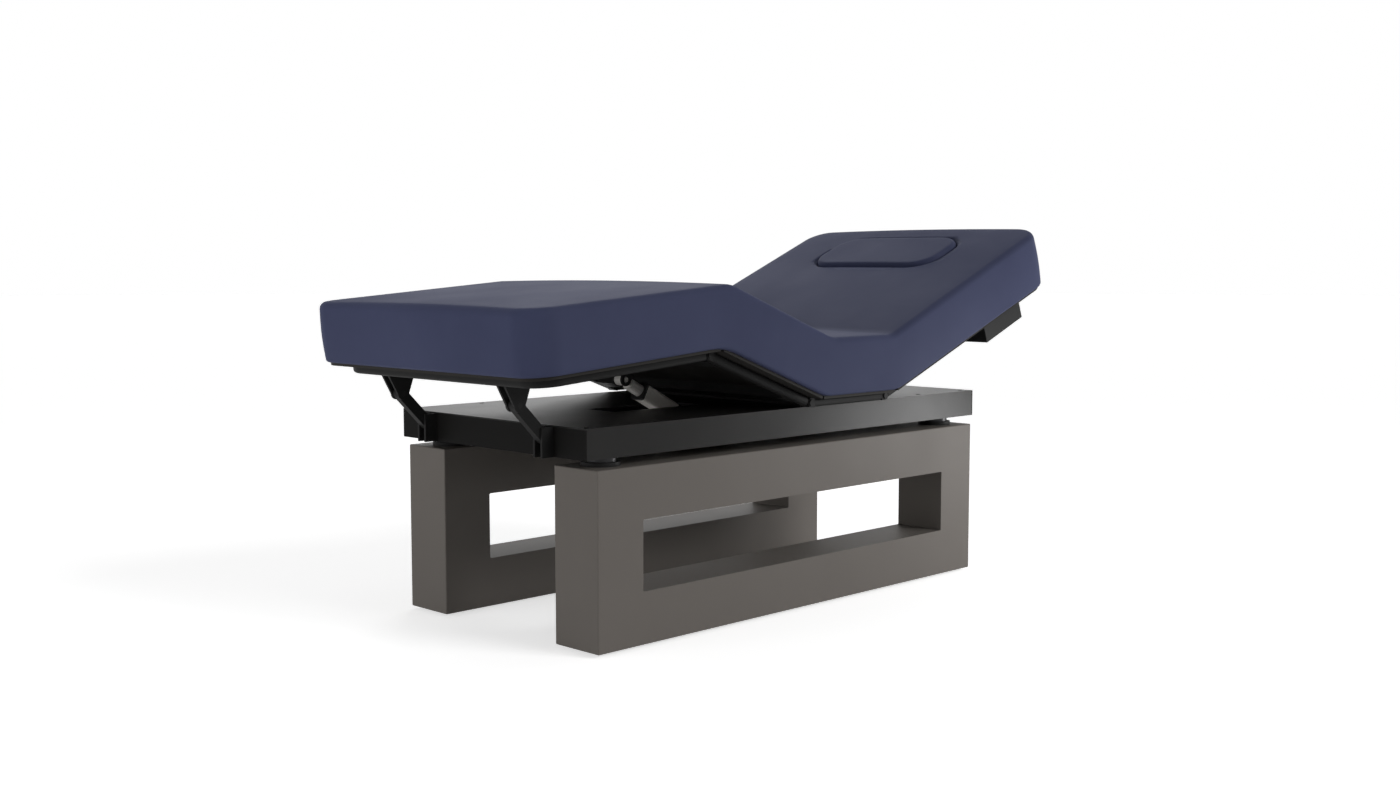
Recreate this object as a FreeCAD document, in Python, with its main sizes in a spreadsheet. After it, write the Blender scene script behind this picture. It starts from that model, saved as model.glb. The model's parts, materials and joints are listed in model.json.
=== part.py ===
import FreeCAD, Part
import os
import re
from math import radians, tan
from FreeCAD import Placement, Rotation, Vector

# Electric spa table: two lengthwise pedestals with four lift columns, a platform,
# and a bending top of leg, thigh, seat and back sections. Millimetres, +X to the head,
# +Z up, origin on the floor under the middle of the table.

SIZES = (
    # Pedestals
    ("pedestal_setback", 23),
    ("pedestal_thickness", 142),
    ("pedestal_height", 395),
    ("pedestal_spread", 685),
    ("pedestal_wall", 16),
    ("pedestal_rounding", 3),
    ("window_margin", 131),
    ("window_height", 158),
    ("window_sill", 118),
    ("window_rounding", 3),
    ("glide_height", 8),
    ("glide_radius", 22),
    # Lift columns
    ("column_inset", 71.5),
    ("collar_radius", 43.5),
    ("collar_height", 9),
    ("collar_clearance", 0.6),
    ("post_radius", 35),
    ("post_wall", 4),
    ("post_foot", 24),
    ("sleeve_wall", 2.5),
    ("bush_wall", 3.4),
    ("bush_height", 40),
    ("bush_step", 80),
    ("drive_gap", 4),
    ("drive_headroom", 60),
    ("running_clearance", 0.05),
    # Platform
    ("platform_gap", 21.6),
    ("platform_length", 1396),
    ("platform_width", 662),
    ("platform_height", 68),
    ("cover_thickness", 3),
    ("end_plate_thickness", 4),
    ("beam_width", 40),
    ("beam_wall", 3),
    ("column_beam_width", 120),
    ("middle_beam_width", 60),
    ("foot_beam_x", -440),
    ("middle_beam_x", 6),
    ("screw_radius", 5),
    ("screw_head", 1),
    ("screw_inset", 24),
    # Frame rails and boards
    ("rail_width", 28),
    ("rail_height", 22),
    ("rail_rounding", 8),
    ("rail_wall", 2.5),
    ("rail_side_clearance", 1),
    ("frame_clearance", 1.5),
    ("crossbar_width", 40),
    ("crossbar_end_gap", 34),
    ("board_thickness", 7),
    ("board_inset", 15),
    ("end_rail_inset", 50),
    ("rail_inner_turn", 34),
    # Section hinges
    ("hinge_pin_radius", 5),
    ("hinge_pin_head_radius", 8),
    ("hinge_pin_head", 3),
    ("hinge_end_clearance", 2),
    ("hinge_split", 0.6),
    # Top sections
    ("leg_setback", 156),
    ("thigh_length", 368),
    ("seat_length", 285),
    ("back_overhang", 47),
    ("hip_setback", 9),
    ("thigh_angle", 20.5),
    ("leg_angle", 4.6),
    ("back_angle", 21.4),
    ("back_limit", 65),
    # Cushions
    ("pad_width", 820),
    ("pad_thickness", 139),
    ("pad_crown", 5),
    ("pad_draw_in", 4),
    ("pad_corner_radius", 74),
    ("pad_top_rounding", 16),
    ("pad_bottom_rounding", 8),
    ("pad_gap", 0.3),
    ("pad_trim", 2),
    ("back_pad_lean", 1.1),
    # Face opening at the head
    ("plug_setback", 292),
    ("plug_length", 205),
    ("plug_width", 430),
    ("plug_corner", 75),
    ("plug_clearance", 1.5),
    ("plug_rise", 8),
    ("plug_rounding", 12),
    ("plug_board_thickness", 8),
    ("groove_width", 12),
    ("groove_depth", 12),
    ("face_hole_length", 118),
    ("face_hole_width", 176),
    ("well_setback", 311),
    ("well_length", 178),
    ("well_width", 756),
    ("well_depth", 53),
    ("well_wall", 3),
    # Foot struts
    ("strut_spread", 424),
    ("strut_lug_inset", 102),
    ("strut_lug_drop", 58),
    ("strut_base_gap", 16.5),
    ("strut_bar_width", 44),
    ("strut_depth", 26),
    ("strut_thickness", 18),
    ("strut_slot_run", 9),
    ("strut_slot_clearance", 1.8),
    ("pivot_pin_radius", 6),
    ("cheek_thickness", 6),
    ("cheek_clearance", 0.5),
    ("lug_flare", 72),
    ("lug_eye_radius", 15),
    # Knee actuator
    ("actuator_offset", 50),
    ("actuator_base_x", -10),
    ("actuator_base_drop", 37),
    ("actuator_lug_along", 330),
    ("actuator_lug_drop", 62),
    ("actuator_pivot_clearance", 2.2),
    ("actuator_eye_radius", 14),
    ("actuator_eye_width", 22),
    ("gearbox_start", 32),
    ("gearbox_depth", 45),
    ("gearbox_width", 43),
    ("housing_length", 116),
    ("housing_depth", 42),
    ("housing_width", 40),
    ("housing_rounding", 8),
    ("housing_end_gap", 70),
    ("collar_ring_length", 7),
    ("collar_ring_overhang", 1.5),
    ("motor_radius", 24),
    ("motor_start", 40),
    ("motor_length", 120),
    ("motor_overlap", 4),
    ("actuator_rod_radius", 15),
    ("actuator_rod_engagement", 150),
    ("actuator_rod_neck", 22),
    ("cover_slot_foot", 405),
    ("cover_slot_head", 128),
    ("cover_slot_width", 96),
    # Back actuator
    ("crank_offset", 70),
    ("crank_drop", 50),
    ("crank_width", 30),
    ("crank_slot_clearance", 2.2),
    ("crank_slot_start", 47),
    ("crank_slot_end", 63),
    ("crank_tip", 76),
    ("crank_root", 62),
    ("crank_root_depth", 14),
    ("crank_opening_foot", 62),
    ("crank_opening_head", 84),
    ("crank_opening_width", 48),
    ("back_housing_radius", 21),
    ("back_housing_length", 150),
    ("back_rod_radius", 9),
    ("back_rod_eye_radius", 11),
    ("back_rod_eye_width", 20),
    ("back_rod_engagement", 110),
    # Electrics
    ("control_box_length", 190),
    ("control_box_width", 150),
    ("control_box_height", 48),
    ("control_box_gap", 70),
    ("inlet_width", 50),
    ("inlet_height", 30),
    ("inlet_depth", 9),
    ("inlet_offset", 190),
    ("inlet_recess", 6),
    ("inlet_rim", 4),
    ("socket_radius", 11),
    ("socket_depth", 10),
    ("socket_spacing", 60),
)

PLACES = (
    ("pedestal_length", "platform_length - 2 * pedestal_setback"),
    ("window_length", "pedestal_length - 2 * window_margin"),
    ("leg_length", "platform_length / 2 - leg_setback"),
    ("back_length", "platform_length / 2 + back_overhang"),
    ("strut_lug_along", "leg_length - strut_lug_inset"),
    ("plug_start", "back_length - plug_setback"),
    ("well_start", "back_length - well_setback"),
    ("pedestal_floor", "glide_height + pedestal_wall"),
    ("pedestal_top", "glide_height + pedestal_height"),
    ("pedestal_y", "(pedestal_spread - pedestal_thickness) / 2"),
    ("column_x", "pedestal_length / 2 - column_inset"),
    ("sleeve_bore", "post_radius + running_clearance + bush_wall + running_clearance"),
    ("sleeve_radius", "sleeve_bore + sleeve_wall"),
    ("platform_bottom", "pedestal_top + platform_gap"),
    ("platform_top", "platform_bottom + platform_height"),
    ("beam_height", "platform_height - cover_thickness"),
    ("beam_inner_y", "platform_width / 2 - beam_width"),
    ("hinge_z", "platform_top + frame_clearance + rail_height / 2"),
    ("rail_inner", "platform_width / 2 + rail_side_clearance"),
    ("rail_outer", "rail_inner + rail_width"),
    ("rail_middle", "rail_inner + rail_width / 2"),
    ("hinge_radius", "rail_height / 2"),
    ("rail_end_gap", "hinge_radius + hinge_end_clearance"),
    ("pad_base", "rail_height / 2 + board_thickness"),
    ("pad_height", "pad_thickness + pad_crown"),
    ("pad_crest", "pad_base + pad_height"),
    ("board_half_width", "pad_width / 2 - board_inset"),
    ("board_corner", "pad_corner_radius - board_inset"),
    ("rail_turn", "rail_width + rail_inner_turn"),
    ("hip_board_gap", "pad_base * tan(thigh_angle / 2) + hinge_end_clearance"),
    ("back_board_gap", "pad_base * tan(back_limit / 2) + hinge_end_clearance"),
    ("foot_round_along", "leg_length - pad_draw_in * pad_top_rounding / pad_height - pad_top_rounding"),
    ("foot_round_up", "pad_crest - pad_top_rounding"),
    ("foot_reach", "thigh_length * cos(thigh_angle) + foot_round_along * cos(leg_angle)"
                   " + foot_round_up * sin(leg_angle) + pad_top_rounding"),
    ("back_pad_angle", "back_angle + back_pad_lean"),
    ("back_pad_base", "pad_base - back_length * tan(back_pad_lean) - pad_trim"),
    ("head_draw", "pad_draw_in * (1 - pad_bottom_rounding / (pad_crest - back_pad_base))"),
    ("head_round_along", "back_length - head_draw - pad_bottom_rounding"),
    ("head_round_up", "back_pad_base + pad_trim + pad_bottom_rounding"),
    ("head_reach", "seat_length + head_round_along * cos(back_pad_angle)"
                   " - head_round_up * sin(back_pad_angle) + pad_bottom_rounding"),
    ("hip_x", "-hip_setback"),
    ("table_shift", "(foot_reach - head_reach) / 2 - hip_x"),
    ("back_x", "hip_x + seat_length"),
    ("knee_x", "hip_x - thigh_length * cos(thigh_angle)"),
    ("knee_z", "hinge_z + thigh_length * sin(thigh_angle)"),
    ("strut_top_x", "knee_x - strut_lug_along * cos(leg_angle) + strut_lug_drop * sin(leg_angle)"),
    ("strut_top_z", "knee_z - strut_lug_along * sin(leg_angle) - strut_lug_drop * cos(leg_angle)"),
    ("strut_flat_x", "hip_x - thigh_length - strut_lug_along"),
    ("strut_flat_z", "hinge_z - strut_lug_drop"),
    ("strut_swing_x", "strut_top_x - strut_flat_x"),
    ("strut_swing_z", "strut_top_z - strut_flat_z"),
    ("strut_chord", "sqrt(strut_swing_x ^ 2 + strut_swing_z ^ 2)"),
    ("strut_base_x", "-platform_length / 2 - strut_base_gap"),
    ("strut_reach_x", "strut_base_x - (strut_top_x + strut_flat_x) / 2"),
    ("strut_base_z", "(strut_top_z + strut_flat_z) / 2 - strut_reach_x * strut_swing_x / strut_swing_z"),
    ("strut_reach", "strut_reach_x * strut_chord / strut_swing_z"),
    ("strut_length", "sqrt(strut_reach ^ 2 + strut_chord ^ 2 / 4)"),
    ("strut_angle", "atan2(strut_top_z - strut_base_z; strut_base_x - strut_top_x)"),
    ("strut_y", "strut_spread / 2"),
    ("strut_cheek_y", "strut_thickness / 2 + cheek_clearance"),
    ("actuator_y", "-actuator_offset"),
    ("actuator_base_z", "platform_bottom - actuator_base_drop"),
    ("actuator_lug_x", "hip_x - actuator_lug_along * cos(thigh_angle)"
                       " - actuator_lug_drop * sin(thigh_angle)"),
    ("actuator_lug_z", "hinge_z + actuator_lug_along * sin(thigh_angle)"
                       " - actuator_lug_drop * cos(thigh_angle)"),
    ("actuator_run", "actuator_base_x - actuator_lug_x"),
    ("actuator_rise", "actuator_lug_z - actuator_base_z"),
    ("actuator_length", "sqrt(actuator_run ^ 2 + actuator_rise ^ 2)"),
    ("actuator_angle", "atan2(actuator_rise; actuator_run)"),
    ("actuator_cheek_y", "actuator_eye_width / 2 + cheek_clearance"),
    ("housing_end", "actuator_length - housing_end_gap"),
    ("housing_start", "housing_end - housing_length"),
    ("crank_lean", "back_limit / 2"),
    ("crank_rest_lean", "crank_lean - back_angle"),
    ("crank_pin_x", "back_x - crank_drop * tan(crank_rest_lean)"),
    ("crank_pin_z", "hinge_z - crank_drop"),
    ("crank_cheek_y", "back_rod_eye_width / 2 + cheek_clearance"),
    ("plug_middle", "plug_start + plug_length / 2"),
    ("face_hole_start", "plug_middle - face_hole_length / 2"),
)

SHEET_OF = {name: "Sizes" for name, number in SIZES}
SHEET_OF.update({name: "Places" for name, formula in PLACES})
SIDES = (-1, 1)
ENDS = (-1, 1)

doc = FreeCAD.newDocument("SpaTable")
nodes = []


def bound(text, home=None):
    """Write the sheet's name before each named size in an expression."""
    def owned(match):
        word = match.group()
        sheet = SHEET_OF.get(word)
        return word if sheet in (None, home) else sheet + "." + word
    return re.sub(r"[a-z_]+[a-z]", owned, text)


def fill_sheets():
    """Put the driving sizes and the places worked out from them in two sheets."""
    sizes = doc.addObject("Spreadsheet::Sheet", "Sizes")
    for row, (name, number) in enumerate(SIZES, 1):
        sizes.set("A%d" % row, name)
        sizes.set("B%d" % row, str(number))
        sizes.setAlias("B%d" % row, name)
    places = doc.addObject("Spreadsheet::Sheet", "Places")
    for row, (name, formula) in enumerate(PLACES, 1):
        places.set("A%d" % row, name)
        places.set("B%d" % row, "=" + bound(formula, "Places"))
        places.setAlias("B%d" % row, name)
    doc.recompute()
    return sizes


sheet = fill_sheets()


def value(text):
    """Give the number that an expression of named sizes comes to."""
    result = sheet.evalExpression(bound(text))
    return float(getattr(result, "Value", result))


def add(kind, **expressions):
    """Make a document object with its properties bound to the sheets."""
    piece = doc.addObject(kind, "Piece")
    for name, text in expressions.items():
        piece.setExpression(name, bound(text))
    return piece


def place(piece, x, y, z):
    """Bind the three coordinates of a piece's Placement."""
    for axis, text in (("x", x), ("y", y), ("z", z)):
        piece.setExpression("Placement.Base." + axis, bound(text))
    return piece


def box(length, width, height, x, y, z):
    """A block with its low corner at x, y, z."""
    return place(add("Part::Box", Length=length, Width=width, Height=height), x, y, z)


def across(side, inner, outer):
    """The low y of a block that spans inner to outer on one side of the table."""
    return inner if side > 0 else "-(%s)" % outer


def side_box(side, length, inner, outer, height, x, z):
    """A block that spans inner to outer in y on one side of the table."""
    return box(length, "(%s) - (%s)" % (outer, inner), height, x, across(side, inner, outer), z)


def middle_box(length, half_width, height, x, z):
    """A block centred across the table."""
    return box(length, "2 * (%s)" % half_width, height, x, "-(%s)" % half_width, z)


TURNS = {
    "x": Rotation(Vector(0, 1, 0), 90),
    "y": Rotation(Vector(1, 0, 0), -90),
    "z": Rotation(),
}


def bar(radius, length, x, y, z, along):
    """A round bar that starts at x, y, z and runs along one axis."""
    piece = add("Part::Cylinder", Radius=radius, Height=length)
    piece.Placement = Placement(Vector(), TURNS[along])
    return place(piece, x, y, z)


def flared(width, low, high, low_start, low_end, high_start, high_end, y):
    """A plate with slanted ends: one span in x at z low and another at z high."""
    piece = add(
        "Part::Wedge", Xmin=low_start, Xmax=low_end, X2min=high_start, X2max=high_end,
        Ymin=low, Ymax=high, Zmax="0", Z2max="0",
        Zmin="-(%s)" % width, Z2min="-(%s)" % width)
    piece.Placement = Placement(Vector(), Rotation(Vector(1, 0, 0), 90))
    return place(piece, "0", y, "0")


def cut(base, *tools):
    """Take each tool away from the base in turn."""
    for tool in tools:
        remainder = doc.addObject("Part::Cut", "Piece")
        remainder.Base = base
        remainder.Tool = tool
        base = remainder
    return base


def fuse(*members):
    """Join overlapping members into one solid."""
    joined = doc.addObject("Part::MultiFuse", "Piece")
    joined.Shapes = list(members)
    joined.Refine = True
    return joined


def rounded(base, radius, along):
    """Round the straight edges of a block that run along the named axes."""
    doc.recompute()
    chosen = []
    for number, edge in enumerate(base.Shape.Edges, 1):
        run = edge.tangentAt(edge.FirstParameter)
        direction = "xyz"[max(range(3), key=lambda axis: abs(run[axis]))]
        if direction in along:
            chosen.append((number, value(radius), value(radius)))
    piece = doc.addObject("Part::Fillet", "Piece")
    piece.Base = base
    piece.Edges = chosen
    return piece


def form(solid):
    """Hold a solid of free form, such as a cushion, in the document."""
    piece = doc.addObject("Part::Feature", "Piece")
    piece.Shape = solid
    return piece


FRAMES = {
    "base": ("0", "0", "0"),
    "seat": ("hip_x", "hinge_z", "0"),
    "thigh": ("hip_x", "hinge_z", "thigh_angle"),
    "leg": ("knee_x", "knee_z", "-leg_angle"),
    "back": ("back_x", "hinge_z", "-back_angle"),
    "strut": ("strut_base_x", "strut_base_z", "strut_angle"),
    "actuator": ("actuator_base_x", "actuator_base_z", "actuator_angle"),
}


def node(label, frame, *members):
    """Name a sub-part and set it in its section's frame, turned about the hinge line.

    Frames are measured from the platform's middle, and the shift puts the table's middle at zero."""
    x, z, angle = FRAMES[frame]
    part = doc.addObject("Part::Compound", label)
    part.Label = label
    part.Links = list(members)
    part.Placement = Placement(Vector(), Rotation(Vector(0, 1, 0), 1))
    place(part, x + " + table_shift", "0", z)
    part.setExpression("Placement.Rotation.Angle", bound(angle))
    nodes.append(part)


def corners():
    """The four lift columns: their x and y as expressions."""
    for end in ENDS:
        for side in SIDES:
            yield "%d * column_x" % end, "%d * pedestal_y" % side


def ring(outer, inner, height, x, y, z):
    """An upright tube."""
    return cut(bar(outer, height, x, y, z, "z"), bar(inner, height, x, y, z, "z"))


def build_pedestals():
    """Hollow lengthwise pedestals with a long window, glides below and column bores on top."""
    for side, label in ((1, "pedestal_left"), (-1, "pedestal_right")):
        y = "%d * pedestal_y - pedestal_thickness / 2" % side
        outside = rounded(
            box("pedestal_length", "pedestal_thickness", "pedestal_height",
                "-pedestal_length / 2", y, "glide_height"),
            "pedestal_rounding", "xyz")
        window = rounded(
            box("window_length", "pedestal_thickness + 2 * pedestal_wall", "window_height",
                "-window_length / 2", y + " - pedestal_wall", "glide_height + window_sill"),
            "window_rounding", "y")
        hollow = box(
            "pedestal_length - 2 * pedestal_wall", "pedestal_thickness - 2 * pedestal_wall",
            "pedestal_height - 2 * pedestal_wall",
            "-pedestal_length / 2 + pedestal_wall", y + " + pedestal_wall", "pedestal_floor")
        lining = box(
            "window_length + 2 * pedestal_wall", "pedestal_thickness",
            "window_height + 2 * pedestal_wall",
            "-window_length / 2 - pedestal_wall", y, "glide_height + window_sill - pedestal_wall")
        bores = [
            bar("sleeve_radius + running_clearance", "2 * pedestal_wall", x, bore_y,
                "pedestal_top - pedestal_wall - running_clearance", "z")
            for x, bore_y in corners() if bore_y.startswith("%d " % side)]
        node(label, "base", cut(outside, window, cut(hollow, lining), *bores))
    glides = [
        bar("glide_radius", "glide_height", x, y, "0", "z") for x, y in corners()]
    node("levelling_glides", "base", *glides)


def build_columns():
    """Telescoping columns: sleeve, guide bushes, collar and drive below, post above."""
    sleeves, bushes, collars, drives, posts = [], [], [], [], []
    for x, y in corners():
        sleeves.append(ring("sleeve_radius", "sleeve_bore", "pedestal_top - pedestal_floor",
                            x, y, "pedestal_floor"))
        for step in (0, 1):
            bushes.append(ring("sleeve_bore - running_clearance", "post_radius + running_clearance",
                               "bush_height", x, y,
                               "pedestal_top - bush_height - %d * bush_step" % step))
        collars.append(ring("collar_radius", "post_radius + collar_clearance", "collar_height",
                            x, y, "pedestal_top"))
        drives.append(bar("post_radius - post_wall - drive_gap",
                          "pedestal_top - pedestal_floor - drive_headroom",
                          x, y, "pedestal_floor", "z"))
        posts.append(ring("post_radius", "post_radius - post_wall",
                          "platform_bottom - glide_height - post_foot", x, y,
                          "glide_height + post_foot"))
    node("column_sleeves", "base", *sleeves)
    node("guide_bushes", "base", *bushes)
    node("column_collars", "base", *collars)
    node("lift_drives", "base", *drives)
    node("column_posts", "base", *posts)


def build_platform():
    """Welded box frame with end plates, and covers that leave slots for the actuators."""
    side_beams = []
    for side in SIDES:
        shell = side_box(side, "platform_length - 2 * end_plate_thickness", "beam_inner_y",
                         "platform_width / 2", "beam_height",
                         "-platform_length / 2 + end_plate_thickness", "platform_bottom")
        inside = side_box(side, "platform_length", "beam_inner_y + beam_wall",
                          "platform_width / 2 - beam_wall", "beam_height - 2 * beam_wall",
                          "-platform_length / 2", "platform_bottom + beam_wall")
        side_beams.append(cut(shell, inside))
    node("platform_side_beams", "base", *side_beams)
    end_plates = [
        middle_box("end_plate_thickness", "platform_width / 2", "beam_height", x, "platform_bottom")
        for x in ("-platform_length / 2", "platform_length / 2 - end_plate_thickness")]
    node("platform_end_plates", "base", *end_plates)
    crossbeams = []
    for x, width in (("-column_x", "column_beam_width"), ("foot_beam_x", "middle_beam_width"),
                     ("middle_beam_x", "middle_beam_width"), ("column_x", "column_beam_width")):
        start = "%s - %s / 2" % (x, width)
        shell = middle_box(width, "beam_inner_y", "beam_height", start, "platform_bottom")
        inside = middle_box("%s - 2 * beam_wall" % width, "platform_width / 2",
                            "beam_height - 2 * beam_wall", start + " + beam_wall",
                            "platform_bottom + beam_wall")
        crossbeams.append(cut(shell, inside))
    node("platform_crossbeams", "base", *crossbeams)
    cover_z = "platform_top - cover_thickness"
    node("platform_cover_foot", "base", middle_box(
        "platform_length / 2 - cover_slot_foot", "platform_width / 2", "cover_thickness",
        "-platform_length / 2", cover_z))
    slot_low = "actuator_y - cover_slot_width / 2"
    slot_high = "actuator_y + cover_slot_width / 2"
    slot_length = "cover_slot_foot - cover_slot_head"
    node("platform_cover_sides", "base",
         box(slot_length, "platform_width / 2 + " + slot_low, "cover_thickness",
             "-cover_slot_foot", "-platform_width / 2", cover_z),
         box(slot_length, "platform_width / 2 - (%s)" % slot_high, "cover_thickness",
             "-cover_slot_foot", slot_high, cover_z))
    head_cover = middle_box("platform_length / 2 + cover_slot_head", "platform_width / 2",
                            "cover_thickness", "-cover_slot_head", cover_z)
    crank_slot = box("crank_opening_foot + crank_opening_head", "crank_opening_width",
                     "3 * cover_thickness", "back_x - crank_opening_foot",
                     "crank_offset - crank_opening_width / 2", cover_z + " - cover_thickness")
    node("platform_cover_head", "base", cut(head_cover, crank_slot))
    screws = []
    for end in ENDS:
        for x in ("platform_length / 2 - screw_inset", "column_x - column_beam_width"):
            for side in SIDES:
                screws.append(bar("screw_radius", "screw_head", "%d * (%s)" % (end, x),
                                  "%d * (platform_width / 2 - screw_inset)" % side,
                                  "platform_top", "z"))
    node("cover_screws", "base", *screws)


def tube(side, length, x):
    """A hollow side rail with rounded long edges, level with the hinge lines."""
    shell = rounded(side_box(side, length, "rail_inner", "rail_outer", "rail_height",
                             x, "-rail_height / 2"), "rail_rounding", "x")
    inside = side_box(side, length, "rail_inner + rail_wall", "rail_outer - rail_wall",
                      "rail_height - 2 * rail_wall", x, "-rail_height / 2 + rail_wall")
    return cut(shell, inside)


def knuckle(side, half, x, toward):
    """A hinge block on one half of the rail's width: a round eye and the stub to its rail end."""
    inner, outer = {
        "inner": ("rail_inner", "rail_middle - hinge_split / 2"),
        "outer": ("rail_middle + hinge_split / 2", "rail_outer")}[half]
    start = x if toward > 0 else "%s - rail_end_gap" % x
    stub = side_box(side, "rail_end_gap", inner, outer, "rail_height", start, "-rail_height / 2")
    width = "(%s) - (%s)" % (outer, inner)
    low = across(side, inner, outer)
    eye = bar("hinge_radius", width, x, low, "0", "y")
    hole = bar("hinge_pin_radius + running_clearance", width, x, low, "0", "y")
    return cut(fuse(stub, eye), hole)


def hinge_pin(side, x):
    """A headed pin through both knuckles, with its head on the outside."""
    shank_y = across(side, "rail_inner", "rail_outer")
    head_y = across(side, "rail_outer", "rail_outer + hinge_pin_head")
    shank = bar("hinge_pin_radius", "rail_width", x, shank_y, "0", "y")
    head = bar("hinge_pin_head_radius", "hinge_pin_head", x, head_y, "0", "y")
    return fuse(shank, head)


def crossbar(x, bottom):
    """A bar between the side rails, under the board."""
    return middle_box("crossbar_width", "rail_inner", "rail_height / 2 - (%s)" % bottom,
                      "%s - crossbar_width / 2" % x, bottom)


def outline(hinge, free, half_width, radius, z):
    """A flat outline with its two corners at the free end rounded."""
    toward = 1 if free > hinge else -1
    turn = free - toward * radius
    edge = half_width - radius
    lean = radius * 0.5 ** 0.5
    points = [Vector(x, y, z) for x, y in (
        (hinge, -half_width), (turn, -half_width), (free, -edge),
        (free, edge), (turn, half_width), (hinge, half_width))]
    near_bend = Vector(turn + toward * lean, -edge - lean, z)
    far_bend = Vector(turn + toward * lean, edge + lean, z)
    curves = [
        Part.LineSegment(points[0], points[1]), Part.Arc(points[1], near_bend, points[2]),
        Part.LineSegment(points[2], points[3]), Part.Arc(points[3], far_bend, points[4]),
        Part.LineSegment(points[4], points[5]), Part.LineSegment(points[5], points[0])]
    return Part.Wire([curve.toShape() for curve in curves])


def oblong(length, width, radius, middle_x, z):
    """A rounded rectangle centred across the table."""
    half_length = length / 2
    half_width = width / 2
    lean = radius * (1 - 0.5 ** 0.5)
    edges = []
    for x_sign, y_sign in ((1, 1), (-1, 1), (-1, -1), (1, -1)):
        corner = Vector(middle_x + x_sign * half_length, y_sign * half_width, z)
        beside = Vector(0, -y_sign * radius, 0)
        along = Vector(-x_sign * radius, 0, 0)
        bend = Vector(-x_sign * lean, -y_sign * lean, 0)
        first, last = (beside, along) if x_sign == y_sign else (along, beside)
        edges.append((corner + first, corner + bend, corner + last))
    curves = []
    for number, (first, bend, last) in enumerate(edges):
        curves.append(Part.Arc(first, bend, last))
        curves.append(Part.LineSegment(last, edges[(number + 1) % len(edges)][0]))
    return Part.Wire([curve.toShape() for curve in curves])


def oblong_block(length, width, radius, middle_x, low, high):
    """A rounded rectangular block."""
    face = Part.Face(oblong(length, width, radius, middle_x, low))
    return face.extrude(Vector(0, 0, high - low))


def board(hinge, free):
    """A board with rounded corners at its free end."""
    low = value("rail_height / 2")
    face = Part.Face(outline(hinge, free, value("board_half_width"), value("board_corner"), low))
    return face.extrude(Vector(0, 0, value("board_thickness")))


def straight_board(start, end):
    """A plain board between two hinges."""
    return middle_box("(%s) - (%s)" % (end, start), "board_half_width", "board_thickness",
                      start, "rail_height / 2")


def rim_edges(solid, low, high, hinge_ends):
    """Edges that lie between two heights, apart from those across a hinge end."""
    chosen = []
    for edge in solid.Edges:
        reach = edge.BoundBox
        at_hinge = reach.XLength < 0.01 and any(abs(reach.XMin - x) < 0.01 for x in hinge_ends)
        if low < reach.ZMin and reach.ZMax < high and not at_hinge:
            chosen.append(edge)
    return chosen


def crowned(blank, hinge_ends):
    """Crown the top of a cushion blank and round its top edges, but not those at its hinge ends.

    The blank reaches above the crest, and a parabola over its width takes off the rest."""
    half_width = value("pad_width / 2")
    crown = value("pad_crown")
    crest = value("pad_crest")
    span = blank.BoundBox
    reach = half_width + value("pad_draw_in")
    edge = crest - crown * (reach / half_width) ** 2
    floor = span.ZMin - crown
    left, right = Vector(span.XMin, -reach, edge), Vector(span.XMin, reach, edge)
    arch = Part.BezierCurve()
    arch.setPoles([left, Vector(span.XMin, 0, 2 * crest - edge), right])
    sides = Part.makePolygon([right, Vector(span.XMin, reach, floor),
                              Vector(span.XMin, -reach, floor), left])
    section = Part.Face(Part.Wire([arch.toShape()] + sides.Edges))
    body = blank.common(section.extrude(Vector(span.XLength, 0, 0)))
    return body.makeFillet(value("pad_top_rounding"),
                           rim_edges(body, crest - 2 * crown, crest + crown, hinge_ends))


def softened(body, hinge_ends, lowest):
    """Round the bottom edges of a cushion, which lie between the lowest one and the base."""
    crown = value("pad_crown")
    chosen = rim_edges(body, lowest - crown, value("pad_base") + crown, hinge_ends)
    return body.makeFillet(value("pad_bottom_rounding"), chosen)


def end_cushion(hinge, free, base):
    """A crowned cushion with drawn-in sides and round corners at its free end."""
    draw_in = value("pad_draw_in")
    toward = 1 if free > hinge else -1
    corner = value("pad_corner_radius")
    half_width = value("pad_width / 2")
    low = outline(hinge, free - toward * draw_in, half_width - draw_in, corner - draw_in, base)
    high = outline(hinge, free, half_width, corner, value("pad_crest + pad_crown"))
    return crowned(Part.makeLoft([low, high], True, True), (hinge,))


def straight_cushion(start, end):
    """A crowned cushion with drawn-in sides and plain ends."""
    half_width = value("pad_width / 2")
    draw_in = value("pad_draw_in")
    base = value("pad_base")
    top = value("pad_crest + pad_crown")
    section = [(-half_width + draw_in, base), (half_width - draw_in, base),
               (half_width, top), (-half_width, top)]
    points = [Vector(start, y, z) for y, z in section]
    face = Part.Face(Part.makePolygon(points + points[:1]))
    return softened(crowned(face.extrude(Vector(end - start, 0, 0)), (start, end)), (start, end), base)


def slab(start, start_lean, end, end_lean):
    """A block across the table whose two ends lean from the hinge level, in degrees."""
    low = value("pad_base - pad_crown")
    high = value("2 * pad_crest")
    half_width = value("pad_width")
    corners_seen = [
        (start + low * tan(radians(start_lean)), low), (end + low * tan(radians(end_lean)), low),
        (end + high * tan(radians(end_lean)), high), (start + high * tan(radians(start_lean)), high)]
    points = [Vector(x, -half_width, z) for x, z in corners_seen]
    return Part.Face(Part.makePolygon(points + points[:1])).extrude(Vector(0, 2 * half_width, 0))


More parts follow.
